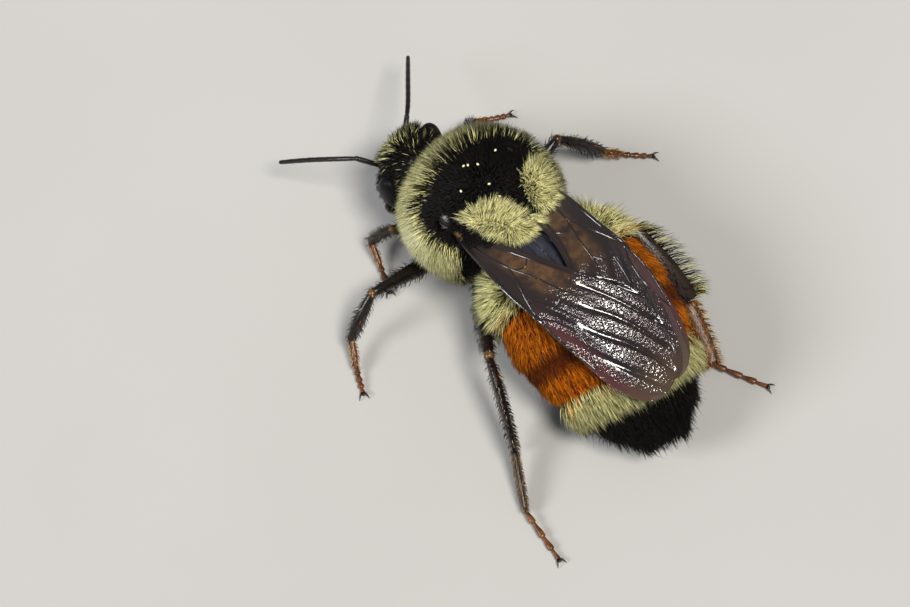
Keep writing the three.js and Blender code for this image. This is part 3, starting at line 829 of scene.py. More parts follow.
# %% Build the legs
BOW = np.array([0, 0, 0.12])   # how far thighs and shins bow upwards
AMBER_SHARE = {"front": 0.85, "middle": 0.85, "hind": 0.8}
leg_grids = {}
for leg, joints in LEGS.items():
    kind = leg.split("_")[0]
    hip, hip_end, knee, ankle, heel, toe = np.array(joints, float)
    toe = toe + [0, 0, -0.02]
    wide, size = BROAD.get(leg, (0, 0, 1)), GIRTH[kind]
    thigh = np.array([hip_end, (hip_end + knee) / 2 + BOW, knee])
    shin = np.array([knee, (knee + ankle) / 2 + BOW, ankle])
    first_foot = np.array([ankle, (ankle + heel) / 2 - BOW / 3, heel])
    grids = {
        "coxa": limb(np.array([hip, (hip + hip_end) / 2, hip_end]), *size["coxa"]),
        "femur": limb(thigh, *size["femur"], wide),
        "tibia": limb(shin, *size["tibia"], wide, 40, 28, 26),
        "basitarsus": limb(first_foot, *size["basitarsus"], wide, 30, 22, 18),
    }
    leg_grids[leg] = grids
    trochanter = egg(np.full(3, size["femur"][1][0] * 1.15), 16, 20) + hip_end
    knee_cap = egg(np.full(3, size["femur"][1][-1] * 0.95), 14, 18) + knee
    down = unit(heel - ankle)
    sideways = unit(np.cross(down, [0, 0, 1]))
    spurs = [cone(ankle + sideways * s * 0.12, ankle + down * 0.42 + sideways * s * 0.2, 0.04)
             for s in ((-1, 1) if kind == "hind" else (1,))]
    hard = [tube(g) for g in (grids["coxa"], trochanter, grids["femur"], knee_cap, grids["tibia"], *spurs)]
    # The knee caps are tinted amber, partly as a painted glint where light catches each knee.
    tints = [0.0, 0.05, 0.0, 0.55, 0.17 if kind == "hind" else 0.10] + [0.8] * len(spurs)
    shape, tint = tinted(hard, *tints)
    nodes = [f"leg_{leg}_{part}" for part in ("coxa", "femur", "tibia")]
    piece(f"leg_{leg}", shape, shell_matter, "shell", nodes, tint=tint)

    soft = [tube(g) for g in (grids["basitarsus"], *foot_parts(heel, toe))]
    amber = 0.35 if leg == "hind_left" else AMBER_SHARE[kind]
    shape, tint = tinted(soft, amber, *[0.9] * 4, 0.2, *[0.15] * 2)
    nodes = [f"leg_{leg}_{part}" for part in ("basitarsus", "tarsus")]
    piece(f"foot_{leg}", shape, foot_matter, "foot", nodes, tint=tint)

# %% [markdown]
# ## Wings
# A wing is a film a few hundredths of a millimetre thick, stiffened by raised veins near its root and by
# pleats towards its tip. Its two parameters are the share of the length and the share across, from the
# front edge back. Smooth lists give its middle line and its half width, and it lies a little above the
# ridge of the back. The pleats overlap like shingles and fan out from a far point in front of the bee.
# Pleats in the mesh, and not in a bump alone, also show from the side.

# %% Wing outline and height
Wing = namedtuple("Wing", "side fore start length rise middle half")
WINGS = {
    "forewing_left": Wing(1, True, 0.95, 11.85, 0.95,
                          [1.80, 2.16, 2.08, 1.79, 1.34, 0.66, 0.38, 0.34, 0.34],
                          [0.45, 0.44, 0.80, 1.16, 1.46, 1.96, 1.98, 1.85, 1.80]),
    "forewing_right": Wing(-1, True, 0.85, 11.70, 0.70,
                           [1.75, 1.62, 1.47, 1.35, 1.22, 0.92, 0.70, 0.66, 0.66],
                           [1.00, 1.06, 1.11, 1.25, 1.62, 2.01, 2.06, 1.97, 1.95]),
    "hindwing_left": Wing(1, False, 2.7, 7.2, 0.34,
                          [0.75, 0.9, 1.05, 1.1, 1.1], [0.80, 1.10, 1.25, 1.3, 1.3]),
    "hindwing_right": Wing(-1, False, 2.7, 7.3, 0.27,
                           [0.9, 1.1, 1.25, 1.25, 1.2], [1.10, 1.25, 1.35, 1.35, 1.3]),
}
RIDGE, RIDGE_STEP = [5.2, 6.1, 6.6, 6.55, 6.1, 5.25, 4.1, 2.9], 2.15   # heights of the back along the body
PLEAT, FAN_OUT, FAN_BACK = 2.15, 10.9, -9.3   # degrees from pleat to pleat, and where they fan from
GROOVE_DEPTH, GROOVE_HALF = 0.07, 0.15
FILM_HALF = 0.015                             # half the thickness of a film


def wing_edge(wing, t):
    """The front edge's distance out and the width of a wing at a share of its length: smooth lists give
    the middle line and half the width, and the last quarter is rounded off like the end of an egg."""
    half = along(wing.half, t) * np.sqrt(1 - np.clip((t - 0.75) / 0.25, 0, 1) ** 2.4)
    return along(wing.middle, t) + half, 2 * half


def back_height(x, y):
    """Height of the back under the wings: a ridge line that falls by the square of the distance out."""
    return along(RIDGE, y / RIDGE_STEP / (len(RIDGE) - 1)) - 0.075 * x**2


def sunk_root(wing, t):
    """How far a wing sinks from the level of its blade towards the shoulder."""
    return (0.78 if wing.fore else 0.3) * ease(0.26, -0.06, t)


def wing_place(wing, t, s):
    """Distance out and distance back of a wing's two shares."""
    front_edge, width = wing_edge(wing, t)
    return front_edge - s * width, wing.start + t * wing.length


def pleat_phase(wing, t, s):
    """Pleats counted from a far point in front of the wing, with a slow wobble."""
    out, y = wing_place(wing, t, s)
    turn = np.degrees(np.arctan2(FAN_OUT - out, y - FAN_BACK))
    return turn / PLEAT + 0.12 * np.sin(1.3 * y + turn)


def pleat_height(wing, t, s):
    """Shingles: each pleat climbs at a slope that grows with the distance out, then drops, with a groove
    between it and the next."""
    out, y = wing_place(wing, t, s)
    phase = pleat_phase(wing, t, s) % 1
    period = np.radians(PLEAT) * np.hypot(FAN_OUT - out, y - FAN_BACK)
    slope = np.clip(0.15 * wing.side * out - 0.196, -0.28, 0.20)
    climb = phase - ease(0.76, 1.0, phase) - 0.35
    groove = np.exp(-((np.minimum(phase, 1 - phase) / GROOVE_HALF) ** 2))
    return -wing.side * slope * period * climb - GROOVE_DEPTH * groove


def wing_point(wing, t, s, lift=0.0):
    """A point of a wing from its two shares, with the pleats and a root that sinks to the shoulder. The
    pleats start beyond a slanting line across the wing and fade before its rim."""
    out, y = wing_place(wing, t, s)
    x = wing.side * out
    reach = ease(0.0, 0.13, t - 0.43 - 0.27 * (1 - s) ** 1.5) * ease(1.0, 0.88, t)
    pleat = pleat_height(wing, t, s) * reach * ease(0.03, 0.12, s) * ease(1.0, 0.92, s) * wing.fore
    sag = 0.10 * np.sin(np.pi * s) * ease(0.5, 0.1, t)
    front_droop = 0.20 * ease(0.30, 0.0, s) ** 1.3 * ease(0.42, 0.62, t)
    height = back_height(x, y) + wing.rise - sunk_root(wing, t) + pleat + lift
    return np.stack(np.broadcast_arrays(x, y, height - (sag + front_droop) * wing.fore), -1)


# %% [markdown]
# The vein pattern is the bumblebee's: a thick rib along the front edge as far as a dark mark, a long
# cell beyond it, three cells under that, and cross veins that close them. Each vein is a short list of
# shares along and across, drawn through smoothly.

# %% Veins
FORE_VEINS = [
    (0.10, [(-0.06, 0.10), (0.2, 0.05), (0.38, 0.03), (0.52, 0.02)]),
    (0.06, [(0.52, 0.02), (0.66, 0.015), (0.78, 0.035)]),
    (0.075, [(-0.05, 0.42), (0.08, 0.40), (0.18, 0.42), (0.29, 0.46)]),
    (0.065, [(0.29, 0.46), (0.35, 0.32), (0.42, 0.16), (0.49, 0.04)]),
    (0.055, [(0.51, 0.05), (0.57, 0.15), (0.67, 0.17), (0.78, 0.05)]),
    (0.045, [(0.43, 0.16), (0.51, 0.28), (0.59, 0.31), (0.70, 0.34)]),
    (0.05, [(0.29, 0.46), (0.39, 0.56), (0.50, 0.58), (0.62, 0.66)]),
    (0.045, [(0.47, 0.58), (0.51, 0.44), (0.52, 0.29)]),
    (0.045, [(0.59, 0.64), (0.63, 0.48), (0.65, 0.33)]),
    (0.04, [(0.57, 0.15), (0.58, 0.24), (0.57, 0.30)]),
    (0.04, [(0.68, 0.16), (0.70, 0.25), (0.69, 0.34)]),
    (0.07, [(-0.05, 0.85), (0.12, 0.84), (0.26, 0.86), (0.40, 0.90), (0.50, 0.96)]),
    (0.045, [(0.31, 0.49), (0.33, 0.66), (0.31, 0.87)]),
]
HIND_VEINS = [
    (0.05, [(0.0, 0.1), (0.3, 0.05), (0.6, 0.03)]),
    (0.04, [(0.0, 0.5), (0.3, 0.45), (0.55, 0.42)]),
    (0.035, [(0.3, 0.45), (0.36, 0.25), (0.42, 0.05)]),
    (0.03, [(0.0, 0.66), (0.25, 0.62), (0.5, 0.60)]),
    (0.03, [(0.0, 0.80), (0.25, 0.78), (0.5, 0.80)]),
]


def vein(wing, girth, shares):
    """A tube along a smooth line of wing shares, tapered to both ends, lying on the film."""
    t = np.linspace(0, 1, 36)
    line = along(np.array(shares, float), t)
    girth = girth * (0.6 + 0.4 * np.sin(np.pi * t) ** 0.5)
    path = wing_point(wing, line[:, 0], line[:, 1], 0.012)
    return tube(rings_on(path, girth, girth * 0.7, (0, 0, 1), 8))


def wing_spot(wing):
    """The dark mark on the front edge: a short flat swelling, like a thick piece of vein."""
    t = np.linspace(0.47, 0.54, 20)
    swell = np.sin(np.linspace(0.1, 3.0, 20))
    line = wing_point(wing, t, 0.035 + 0 * t, 0.01)
    return tube(rings_on(line, 0.16 * swell, 0.05 * swell, (0, 0, 1), 12))


# %% [markdown]
# The film is dark and smoky. Two facts of each point steer its material: its shares along and across
# the wing, with a third number that is 1 on veins, and the count of pleats. The cells near the root are
# brown glass. The outer part glints, because its bump is crumpled on the crests and calm in the grooves.
# Seen at a slant the film grows duller, as a thin crumpled foil does.

# %% Wing materials
# The crests of the pleats are painted lighter and the grooves darker: painted light and shade on the
# pleats.
CREST_LIT, GROOVE_SHADE = (0.018, 0.009, 0.011), (0.005, 0.003, 0.004)
RED_FRONT, PALE_RIM, VEIN = (0.065, 0.018, 0.017), (0.075, 0.046, 0.026), (0.010, 0.006, 0.005)


def film_material(name, deep, cell_tone):
    """Smoky film: brown cells near the root, a crumpled and glinting outer part crossed by pleats whose
    crests carry painted light and whose grooves carry painted shade, a reddish front edge and a pale rim."""
    recipe = Recipe(name, Specular_IOR_Level=0.9)
    length_share, cross_share, rib = recipe.parts(recipe.fact("wing", "Color"))
    cloud = recipe.noise(0.8, 3.0)
    wrinkle = recipe.noise(3.4, 4.0)
    spark = recipe.noise(8.0, 1.5)
    wave = recipe.maths("SINE", recipe.fact("phase") * math.pi)
    crest = recipe.maths("ABSOLUTE", wave).ramp(0.34, 0.72)
    outer = (length_share + cloud * 0.16 - 0.08).ramp(0.42, 0.56)
    front = cross_share.ramp(0.24, 0.06) * length_share.ramp(0.40, 0.62)
    edge = length_share.ramp(0.84, 0.97)

    cell = length_share.ramp(0.14, 0.26) * cross_share.ramp(0.28, 0.50) * cross_share.ramp(0.98, 0.80)
    patch = cloud.ramp(0.30, 0.62) * 0.55 + wrinkle.ramp(0.38, 0.62) * 0.45
    membrane = recipe.mix(cell * patch, deep, cell_tone)
    # painted light and shade: the pleats' crests are painted lighter, their grooves darker
    membrane = recipe.mix(outer * 0.85, membrane, recipe.mix(crest, GROOVE_SHADE, CREST_LIT))
    membrane = recipe.mix(front * 0.8, membrane, RED_FRONT)
    membrane = recipe.mix(edge * 0.7, membrane, PALE_RIM)
    membrane = recipe.mix(rib, membrane, VEIN)

    calm = 1.0 - edge * 0.8 - front * 0.5
    grains = spark.ramp(0.34, 0.66) * (outer * crest * 0.80 * calm + 0.03)
    recipe.bump(grains + wrinkle * 0.55, 0.035, 1.0)
    see_through = (0.94 + outer * 0.05 - edge * 0.20 + rib * 0.3).ramp(0.0, 1.0)
    slant = recipe.node("ShaderNodeLayerWeight", None, {"Blend": 0.5}, "Facing")
    dull = 0.08 + spark * 0.08 + slant.ramp(0.10, 0.45) * 0.30
    return recipe.set(Base_Color=membrane, Alpha=see_through, Roughness=dull)


fore_film = film_material("wing_film", (0.014, 0.007, 0.006), (0.085, 0.042, 0.014))
hind_film = film_material("wing_under_film", (0.012, 0.012, 0.020), (0.040, 0.042, 0.062))

# %% Build the wings
ACROSS, LONG = 96, 190
ON_VEIN = [0.3, 0.3, 1.0]   # what the film material reads on a vein
for name, wing in WINGS.items():
    sunk = 0.06 if wing.fore else 0.0
    t = (np.sin(np.pi / 2 * np.linspace(0, 1, LONG)) * (1 + sunk) - sunk)[:, None]
    t = np.minimum(t, 0.99995)
    s = (0.5 - 0.5 * np.cos(np.pi * np.linspace(0, 1, ACROSS)))[None]
    upper = wing_point(wing, t, s, FILM_HALF)
    lower = wing_point(wing, t, s, -FILM_HALF)[:, ::-1]
    ribs = [vein(wing, girth, line) for girth, line in (FORE_VEINS if wing.fore else HIND_VEINS)]
    if wing.fore:
        ribs.append(wing_spot(wing))
    shape = join(tube(np.concatenate([upper, lower], 1)), *ribs)

    both = np.concatenate([np.broadcast_to(side, (LONG, ACROSS)) for side in (s, s[:, ::-1])], 1)
    shares = np.stack([np.broadcast_to(t, both.shape), both, np.zeros(both.shape)], -1).reshape(-1, 3)
    poles = [[t[0, 0], 0.5, 0.0], [t[-1, 0], 0.5, 0.0]]
    on_ribs = np.tile(ON_VEIN, (sum(len(rib[0]) for rib in ribs), 1))
    shares = np.clip(np.concatenate([shares, poles, on_ribs]), 0, 1)
    phase = pleat_phase(wing, t, both).reshape(-1)
    phase = np.concatenate([phase, phase[[0, -1]], np.zeros(len(on_ribs))])
    matter = fore_film if wing.fore else hind_film
    piece(name, shape, matter, "wing", [name], wing=shares, phase=phase)

# %% [markdown]
# ## The coat
# Fur on a solid model is thousands of tiny bent cones. Each has a three-sided ring at its root, another
# where it bends, and a point, which makes ten triangles. Roots are scattered over the skin's own grid so
# that equal areas get equal numbers. A hair leaves the skin at one angle and bends towards the lie of
# the coat, and the tips in one small cell lean together, which gives the coat its locks.

# %% Hair tools
KNEE_SHARE = 0.5                        # where along its length a hair bends
HAIR_FACES = np.array([
    [0, 2, 1], [0, 1, 4], [0, 4, 3], [1, 2, 5], [1, 5, 4],
    [2, 0, 3], [2, 3, 5], [3, 4, 6], [4, 5, 6], [5, 3, 6],
])
ROOT_PATCH = 0.0015 * np.array([[1.0, 0], [-0.5, 0.87], [-0.5, -0.87]])
HAIR_PATCH = np.concatenate([ROOT_PATCH, ROOT_PATCH / 2, [[0, 0]]])   # a hair's place in the unwrap
ON_FLOOR_TIP, ON_FLOOR_KNEE = 0.09, 0.12   # no hair reaches lower than this


def scatter(grid, count, rng, share=None):
    """Random places on a closed grid: a cell is drawn as often as its area times its share, and the
    place inside it is even. Returns the row and column as numbers with fractions."""
    wrapped = np.concatenate([grid, grid[:, :1]], 1)
    down, over = wrapped[1:, :-1] - wrapped[:-1, :-1], wrapped[:-1, 1:] - wrapped[:-1, :-1]
    area = np.linalg.norm(np.cross(down, over), axis=-1)
    if share is not None:
        area = area * share[:-1]
    chance = np.cumsum(area.ravel())
    pick = np.searchsorted(chance, (np.arange(count) + rng.random(count)) / count * chance[-1])
    i, j = np.divmod(np.minimum(pick, chance.size - 1), grid.shape[1])
    return i + rng.random(count), j + rng.random(count)


def read(values, i, j):
    """Values of a closed grid between its points: the mean of four corners, weighted by nearness."""
    i0, j0 = np.minimum(i.astype(int), len(values) - 2), j.astype(int) % values.shape[1]
    j1 = (j0 + 1) % values.shape[1]
    fi, fj = (i - i0)[:, None], (j % values.shape[1] - j0)[:, None]
    near = values[i0, j0] * (1 - fj) + values[i0, j1] * fj
    far = values[i0 + 1, j0] * (1 - fj) + values[i0 + 1, j1] * fj
    return near * (1 - fi) + far * fi


def flatten_to(normal, way):
    """The part of a direction that lies in the skin: the direction less its share of the normal."""
    return unit(way - np.sum(way * normal, -1, keepdims=True) * normal)


def wing_levels(points):
    """Heights of the films above and below a place: how high hair may reach under the lowest wing, and
    how high it must reach to lie over the highest one."""
    x, y = points[..., 0], points[..., 1]
    roof, deck = np.full(x.shape, 99.0), np.full(x.shape, -99.0)
    for wing in WINGS.values():
        t, out = (y - wing.start) / wing.length, wing.side * x
        front_edge, width = wing_edge(wing, np.clip(t, 0, 1))
        inside = (t > 0.0) & (t < 0.985) & (out < front_edge + 0.02) & (out > front_edge - width)
        film = back_height(x, y) + wing.rise - sunk_root(wing, t)
        roof = np.where(inside, np.minimum(roof, film - (0.35 if wing.fore else 0.07)), roof)
        deck = np.where(inside, np.maximum(deck, film + 0.04), deck)
    return roof, deck


leg_lines = [grid[4:].mean(1) for grids in leg_grids.values() for grid in (grids["femur"], grids["tibia"])]
leg_lines = np.concatenate(leg_lines)[::2]


def beside_legs(points):
    """How much of a hair may stay: less where its tip would come near a thigh or a shin."""
    gap = np.full(len(points), 9.0)
    for place in leg_lines:
        gap = np.minimum(gap, np.linalg.norm(points - place, axis=1))
    return ease(0.35, 0.95, gap)[:, None] * 0.65 + 0.35


def locked(roots, points, cell, offset):
    """The mean of the points whose roots share a cell: cubes of space with wavy walls."""
    cells = np.floor((roots + 0.12 * np.sin(5 * roots[:, [1, 2, 0]])) / cell + offset).astype(int)
    cells = np.unique(cells, axis=0, return_inverse=True)[1].ravel()
    number = np.bincount(cells)[cells]
    return np.stack([np.bincount(cells, points[:, k])[cells] / number for k in range(3)], -1)


# A painted highlight: round a spot on each shoulder the hair is painted paler, where light glares on the
# coat.
SHOULDER_GLARE_AT, SHOULDER_GLARE = [2.95, -0.6, 0.1], 0.55   # the palest spot of the coat on each side


def fur(name, word, roots, normal, flow, uv, marking, rng, length, lift, girth=0.045, droop=20.0,
        jitter=0.10, pull=0.35, cell=0.20, wings=None, near_legs=True):
    """One piece of coat. A hair starts at the lift plus half the droop above the skin and ends at the
    lift less half the droop. Each tip moves a share of the way to the mean tip of its own cell."""
    count = len(roots)
    wobble = rng.normal(size=(count, 3)) * jitter
    length = (length * (rng.uniform(0.70, 1.06, count) + 0.22 * (rng.random(count) > 0.94)))[:, None]
    high, low = np.radians(lift + droop / 2), np.radians(lift - droop / 2)
    high, low = (np.broadcast_to(a, count)[:, None] for a in (high, low))
    first = unit(flow * np.cos(high) + normal * np.sin(high) + wobble)
    second = unit(flow * np.cos(low) + normal * np.sin(low) + 1.5 * wobble)
    base = roots - 0.05 * normal
    knee = roots + first * length * KNEE_SHARE
    tip = knee + second * length * (1 - KNEE_SHARE)

    offset = rng.random(3)
    strength = pull * rng.uniform(0.5, 1.4, count)[:, None]
    lock_tip, lock_knee = locked(roots, tip, cell, offset), locked(roots, knee, cell, offset)
    tip = tip + strength * (lock_tip - tip)
    knee = knee + 0.3 * strength * (lock_knee - knee)
    if near_legs:
        stay = beside_legs(tip)
        knee, tip = base + (knee - base) * stay, base + (tip - base) * stay
    if wings:
        over = (wing_levels(roots)[1] < roots[:, 2] + 0.85) & (wings == "over")
        for place, gap in ((knee, 0.05), (tip, 0.0)):
            roof, deck = wing_levels(place)
            place[:, 2] = np.where(over, np.maximum(place[:, 2], deck), np.minimum(place[:, 2], roof - gap))
    tip[:, 2], knee[:, 2] = np.maximum(tip[:, 2], ON_FLOOR_TIP), np.maximum(knee[:, 2], ON_FLOOR_KNEE)

    side = unit(np.cross(first, rng.normal(size=(count, 3))))
    other = np.cross(unit(knee - base), side)
    turn = 2 * np.pi / 3 * np.arange(3)[None, :, None]
    around = side[:, None] * np.cos(turn) + other[:, None] * np.sin(turn)
    thick = (girth / 2 * rng.uniform(0.75, 1.2, count))[:, None, None]
    foot_ring, knee_ring = base[:, None] + around * thick, knee[:, None] + around * thick * 0.8
    points = np.concatenate([foot_ring, knee_ring, tip[:, None]], 1)
    faces = (HAIR_FACES[None] + 7 * np.arange(count)[:, None, None]).reshape(-1, 3)

    place = uv[:, None] + HAIR_PATCH[None]
    low_uv, high_uv = place.min((0, 1)), place.max((0, 1))
    place = ((place - low_uv) / (high_uv - low_uv)).reshape(-1, 2)
    at = on_pattern(roots)
    from_glare = np.linalg.norm(np.stack([np.abs(at[:, 0]), at[:, 1], at[:, 2]], 1) - SHOULDER_GLARE_AT, axis=1)
    # Each hair's tone is random, plus a painted highlight near the shoulders.
    tone = rng.random(count) + SHOULDER_GLARE * np.exp(-(from_glare**2))
    facts = {
        "marking": np.repeat(marking, 7, 0),
        "along": np.tile([0, 0, 0, KNEE_SHARE, KNEE_SHARE, KNEE_SHARE, 1.0], count),
        "tone": np.repeat(tone, 7),
    }
    shape = points.reshape(-1, 3), [faces]
    return piece(name, shape, coats[word], f"coat_{word}", (), place[faces.ravel()], **facts)


# %% [markdown]
# ## Hair on the body
# Each region has its own number of hairs, length and lie. Round the collar the hair stands out from the
# middle of the black disc, on each yellow patch it parts from the patch's middle, and on the bands it
# lies back over the next band. No hair grows where an eye, a wing root or a feeler sits.

# %% Regions of the body
share_yellow = body_marking[:-2].reshape(ROWS, AROUND, 3)[..., 0]
pattern = on_pattern(body)
out_grid, back_grid, up_grid = np.abs(pattern[..., 0]), pattern[..., 1], pattern[..., 2]
on_head_grid, on_thorax_grid = station_grid < 0.93, (station_grid > 1.02) & (station_grid < 2.0)
crest = np.maximum(-np.cos(2 * np.pi * turns_grid), 0)
band_grid = np.where(station_grid >= 2.0, np.digitize(station_grid - 2 - BAND_LEAN * crest, BANDS) + 1, 0)
top_grid = np.minimum(turns_grid, 1 - turns_grid)
bare = np.zeros((ROWS, AROUND))
for word, side in SIDES.items():
    at, way = eye_frames[word]
    bare = bare + (np.linalg.norm((body - at) @ way / (EYE_HALF * 1.06), axis=-1) < 1)
    spots = [(feeler_socket(side)[0], 0.26), (on_thorax(side * 2.24, -0.20, 1.52), 0.36),
             (on_thorax(side * 2.3, 0.6, 1.3), 0.26)]
    for at, radius in spots:
        bare = bare + (np.linalg.norm(body - at, axis=-1) < radius)
bare = bare + on_head_grid * (in_head[..., 1] < -0.2) * (in_head[..., 2] < -0.35) * (np.abs(x) < 0.6)
covered = bare == 0
is_patch = on_thorax_grid & (back_grid > 0.6) & (up_grid > 0.05) & (out_grid < 2.1) & (share_yellow > 0.4)
is_disc = on_thorax_grid & (share_yellow <= 0.4) & (up_grid > -0.2)
crown = 1 - 0.75 * dome(out_grid, back_grid, 0, -0.1, 0.7, 0.7) * (up_grid > 0)
is_collar = on_thorax_grid & (share_yellow > 0.4) & ~is_patch & (back_grid < -0.3) & (up_grid > 0.0)
is_flank = on_thorax_grid & (share_yellow > 0.4) & ~is_patch & ~is_collar
is_chest = on_thorax_grid & (share_yellow <= 0.4) & (up_grid <= -0.2)
is_brow = on_head_grid & (share_yellow > 0.15)
is_face = on_head_grid & ~is_brow
upper = top_grid > 0.19

# region: (colour, grid share, hairs, length, lift, droop, jitter, pull, girth)
REGIONS = {
    "coat_brow": ("yellow", is_brow, 1700, 0.98, 60, 22, 0.24, 0.50, 0.040),
    "coat_face": ("black", is_face, 7500, 0.56, 50, 24, 0.18, 0.35, 0.036),
    "coat_collar": ("yellow", is_collar, 13000, 1.20, 66, 24, 0.13, 0.45, 0.042),
    "coat_disc": ("black", is_disc * crown, 12500, 0.66, 68, 22, 0.16, 0.45, 0.042),
    "coat_patches": ("yellow", is_patch, 13500, 1.22, 60, 26, 0.13, 0.45, 0.042),
    "coat_flanks": ("yellow", is_flank, 16000, 1.20, 60, 28, 0.14, 0.45, 0.042),
    "coat_chest": ("black", is_chest, 6000, 0.75, 38, 20, 0.12, 0.35, 0.044),
    "coat_band_1": ("yellow", (band_grid == 1) & upper, 13500, 1.55, 62, 26, 0.16, 0.45, 0.042),
    "coat_band_2": ("orange", (band_grid == 2) & upper, 16500, 0.92, 30, 20, 0.12, 0.40, 0.038),
    "coat_band_3": ("orange", (band_grid == 3) & upper, 14000, 0.92, 28, 18, 0.12, 0.40, 0.038),
    "coat_band_4": ("yellow", (band_grid == 4) & upper, 10500, 1.45, 38, 18, 0.13, 0.45, 0.042),
    "coat_tail": ("black", (band_grid == 5) & upper, 8000, 1.10, 44, 16, 0.32, 0.50, 0.040),
    "coat_belly": ("black", (band_grid >= 1) & ~upper, 8000, 0.62, 26, 16, 0.12, 0.35, 0.042),
}
# share of black hairs strewn through a region's yellow or orange ones
DARK = {"coat_collar": 0.13, "coat_patches": 0.12, "coat_flanks": 0.10, "coat_band_1": 0.10,
        "coat_band_2": 0.10, "coat_band_3": 0.10, "coat_band_4": 0.12, "coat_face": -0.03}

# where the lie of the hair starts: the whorl on each shoulder of the first band, the near end of a patch's
# parting and the step to its far end, and the points that the collar's and the brow's hair stand out from
WHORL = [2.85, 4.2, 0.4]
PARTING, PARTING_STEP = [1.62, 1.45, 1.80], [-0.67, 0.9, -0.1]
THORAX_MIDDLE, BROW_MIDDLE = [0, 0.1, 1.5], [0, 0.2, 0.9]


def mirrored(place):
    """What turns a place on the left into its mirror image where a point lies on the right."""
    return np.where([True, False, False], np.sign(place[:, :1]), 1.0)


def from_parting(place):
    """The way from the nearest point of a patch's parting, a short line, to places on the thorax."""
    share = np.clip((place[:, 1] - PARTING[1]) / PARTING_STEP[1], 0, 1)[:, None]
    return place - mirrored(place) * (np.array(PARTING) + share * PARTING_STEP)


def from_whorl(place):
    """The way from the middle of the first band's whorl, one on each shoulder of the abdomen."""
    return place - mirrored(place) * WHORL


def lie_of(region, roots, back):
    """The way the tips point along the skin, before it is flattened into it."""
    place = on_pattern(roots)
    if region == "coat_patches":
        return from_parting(place) @ THORAX_WAY.T
    if region in ("coat_collar", "coat_disc"):
        return (place - THORAX_MIDDLE) @ THORAX_WAY.T
    if region == "coat_flanks":
        return back + [0, 0, -0.8] + 0.4 * (place - THORAX_MIDDLE) @ THORAX_WAY.T
    if region == "coat_band_1":
        return from_whorl(place) @ THORAX_WAY.T + 0.25 * back
    if region in ("coat_brow", "coat_face"):
        face = (roots - HEAD_AT) @ HEAD_WAY
        return (face - BROW_MIDDLE) @ HEAD_WAY.T
    return back


# %% Grow the body's hair
for number, (region, row) in enumerate(REGIONS.items()):
    word, share_grid, count, length, lift, droop, jitter, pull, girth = row
    rng = np.random.default_rng(100 + number)
    i, j = scatter(body, count, rng, share_grid * covered)
    roots, normal = read(body, i, j), unit(read(body_normal, i, j))
    back = unit(read(way_back, i, j))
    shares = markings(roots, np.interp(i, np.arange(ROWS), station), (j / AROUND) % 1)
    draw = rng.random(count) + DARK.get(region, 0.0)
    yellow = draw < shares[:, 0]
    orange = ~yellow & (draw < shares[:, 0] + shares[:, 1])
    marking = np.stack([yellow, orange, orange * shares[:, 2]], -1).astype(float)
    flow = flatten_to(normal, lie_of(region, roots, back))
    uv = np.stack([i / (ROWS - 1), (j / AROUND) % 1], -1)
    if region == "coat_patches":
        near = np.linalg.norm(from_parting(on_pattern(roots)), axis=1)
        lift = 88 - (88 - lift) * ease(0.0, 0.8, near)
    if region == "coat_band_1":
        near = np.linalg.norm(from_whorl(on_pattern(roots)), axis=1)
        lift = 80 - (80 - lift) * ease(0.2, 1.0, near)
    wings = "under" if region.startswith("coat_band") or region == "coat_tail" else "over"
    if region == "coat_tail":
        length = length * rng.uniform(0.5, 1.15, count)
    fur(region, word, roots, normal, flow, uv, marking, rng, length, lift, girth, droop, jitter, pull,
        wings=wings)

# %% [markdown]
# ## Grains of pollen
# A few pale grains cling to the black disc. Each is a bead about a seventh of a millimetre long, put above
# its own place on the thorax's pattern, at the height of the hair tips.

# %% Pollen
GRAINS = [[0.33, -0.79], [0.20, -0.70], [-0.06, -0.45], [0.33, 0.52],
          [-1.08, -0.51], [1.24, -0.07], [0.45, 1.21]]
GRAIN_HALF, GRAIN_HEIGHT = np.array([0.072, 0.052, 0.050]), 0.58

recipe = Recipe("pollen", Specular_IOR_Level=0.3)
crust = recipe.noise(20.0, 3.0)
recipe.bump(crust, 0.02)
crust_colour = recipe.mix(crust, (0.62, 0.56, 0.28), (0.86, 0.82, 0.55))
pollen_matter = recipe.set(Base_Color=crust_colour, Roughness=0.5 + crust * 0.2)

grains = []
for number, grain in enumerate(GRAINS):
    gap = np.linalg.norm(pattern[..., :2] - grain, axis=-1) + 9 * (up_grid < 1)
    i, j = np.unravel_index(gap.argmin(), gap.shape)
    bead = egg(GRAIN_HALF, 8, 12) @ turned(50 * number).T
    grains.append(tube(bead + body[i, j] + GRAIN_HEIGHT * body_normal[i, j]))
piece("pollen", join(*grains), pollen_matter, "coat_yellow")

# %% [markdown]
# ## Hair on the legs
# Thighs and shins carry short black bristles that point to the foot, the foot joints a golden down, and
# the two margins of each pollen basket a long fringe that stands out flat and curves over the basket.

# %% Grow the legs' hair
DOWN = {   # segment: (hairs per square mm, length, lift, yellow share, orange share)
    "coxa": (34, 0.42, 40, 0.06, 0.0),
    "femur": (30, 0.42, 34, 0.04, 0.02),
    "tibia": (34, 0.34, 30, 0.03, 0.03),
    "basitarsus": (60, 0.24, 24, 0.5, 0.9),
}
# A fringe's yellow share is a painted highlight: pale hairs among the black ones stand for glints of light
# on the fringe.
FRINGE = {"hind_left": (160, 0.6, 0.05), "hind_right": (320, 1.12, 0.5)}   # hairs, length, yellow share
GOLD = {"hind_left": 0.25}   # how golden the down of a foot is, where it isn't 0.9
COMB_HAIRS, COMB_LENGTH = 150, 0.42
STRIPS = 24                  # the unwrap has one strip for each segment of the six legs


def grid_area(grid):
    """Area of a closed grid: the sum of its cells."""
    wrapped = np.concatenate([grid, grid[:, :1]], 1)
    down, over = wrapped[1:, :-1] - wrapped[:-1, :-1], wrapped[:-1, 1:] - wrapped[:-1, :-1]
    return float(np.linalg.norm(np.cross(down, over), axis=-1).sum())


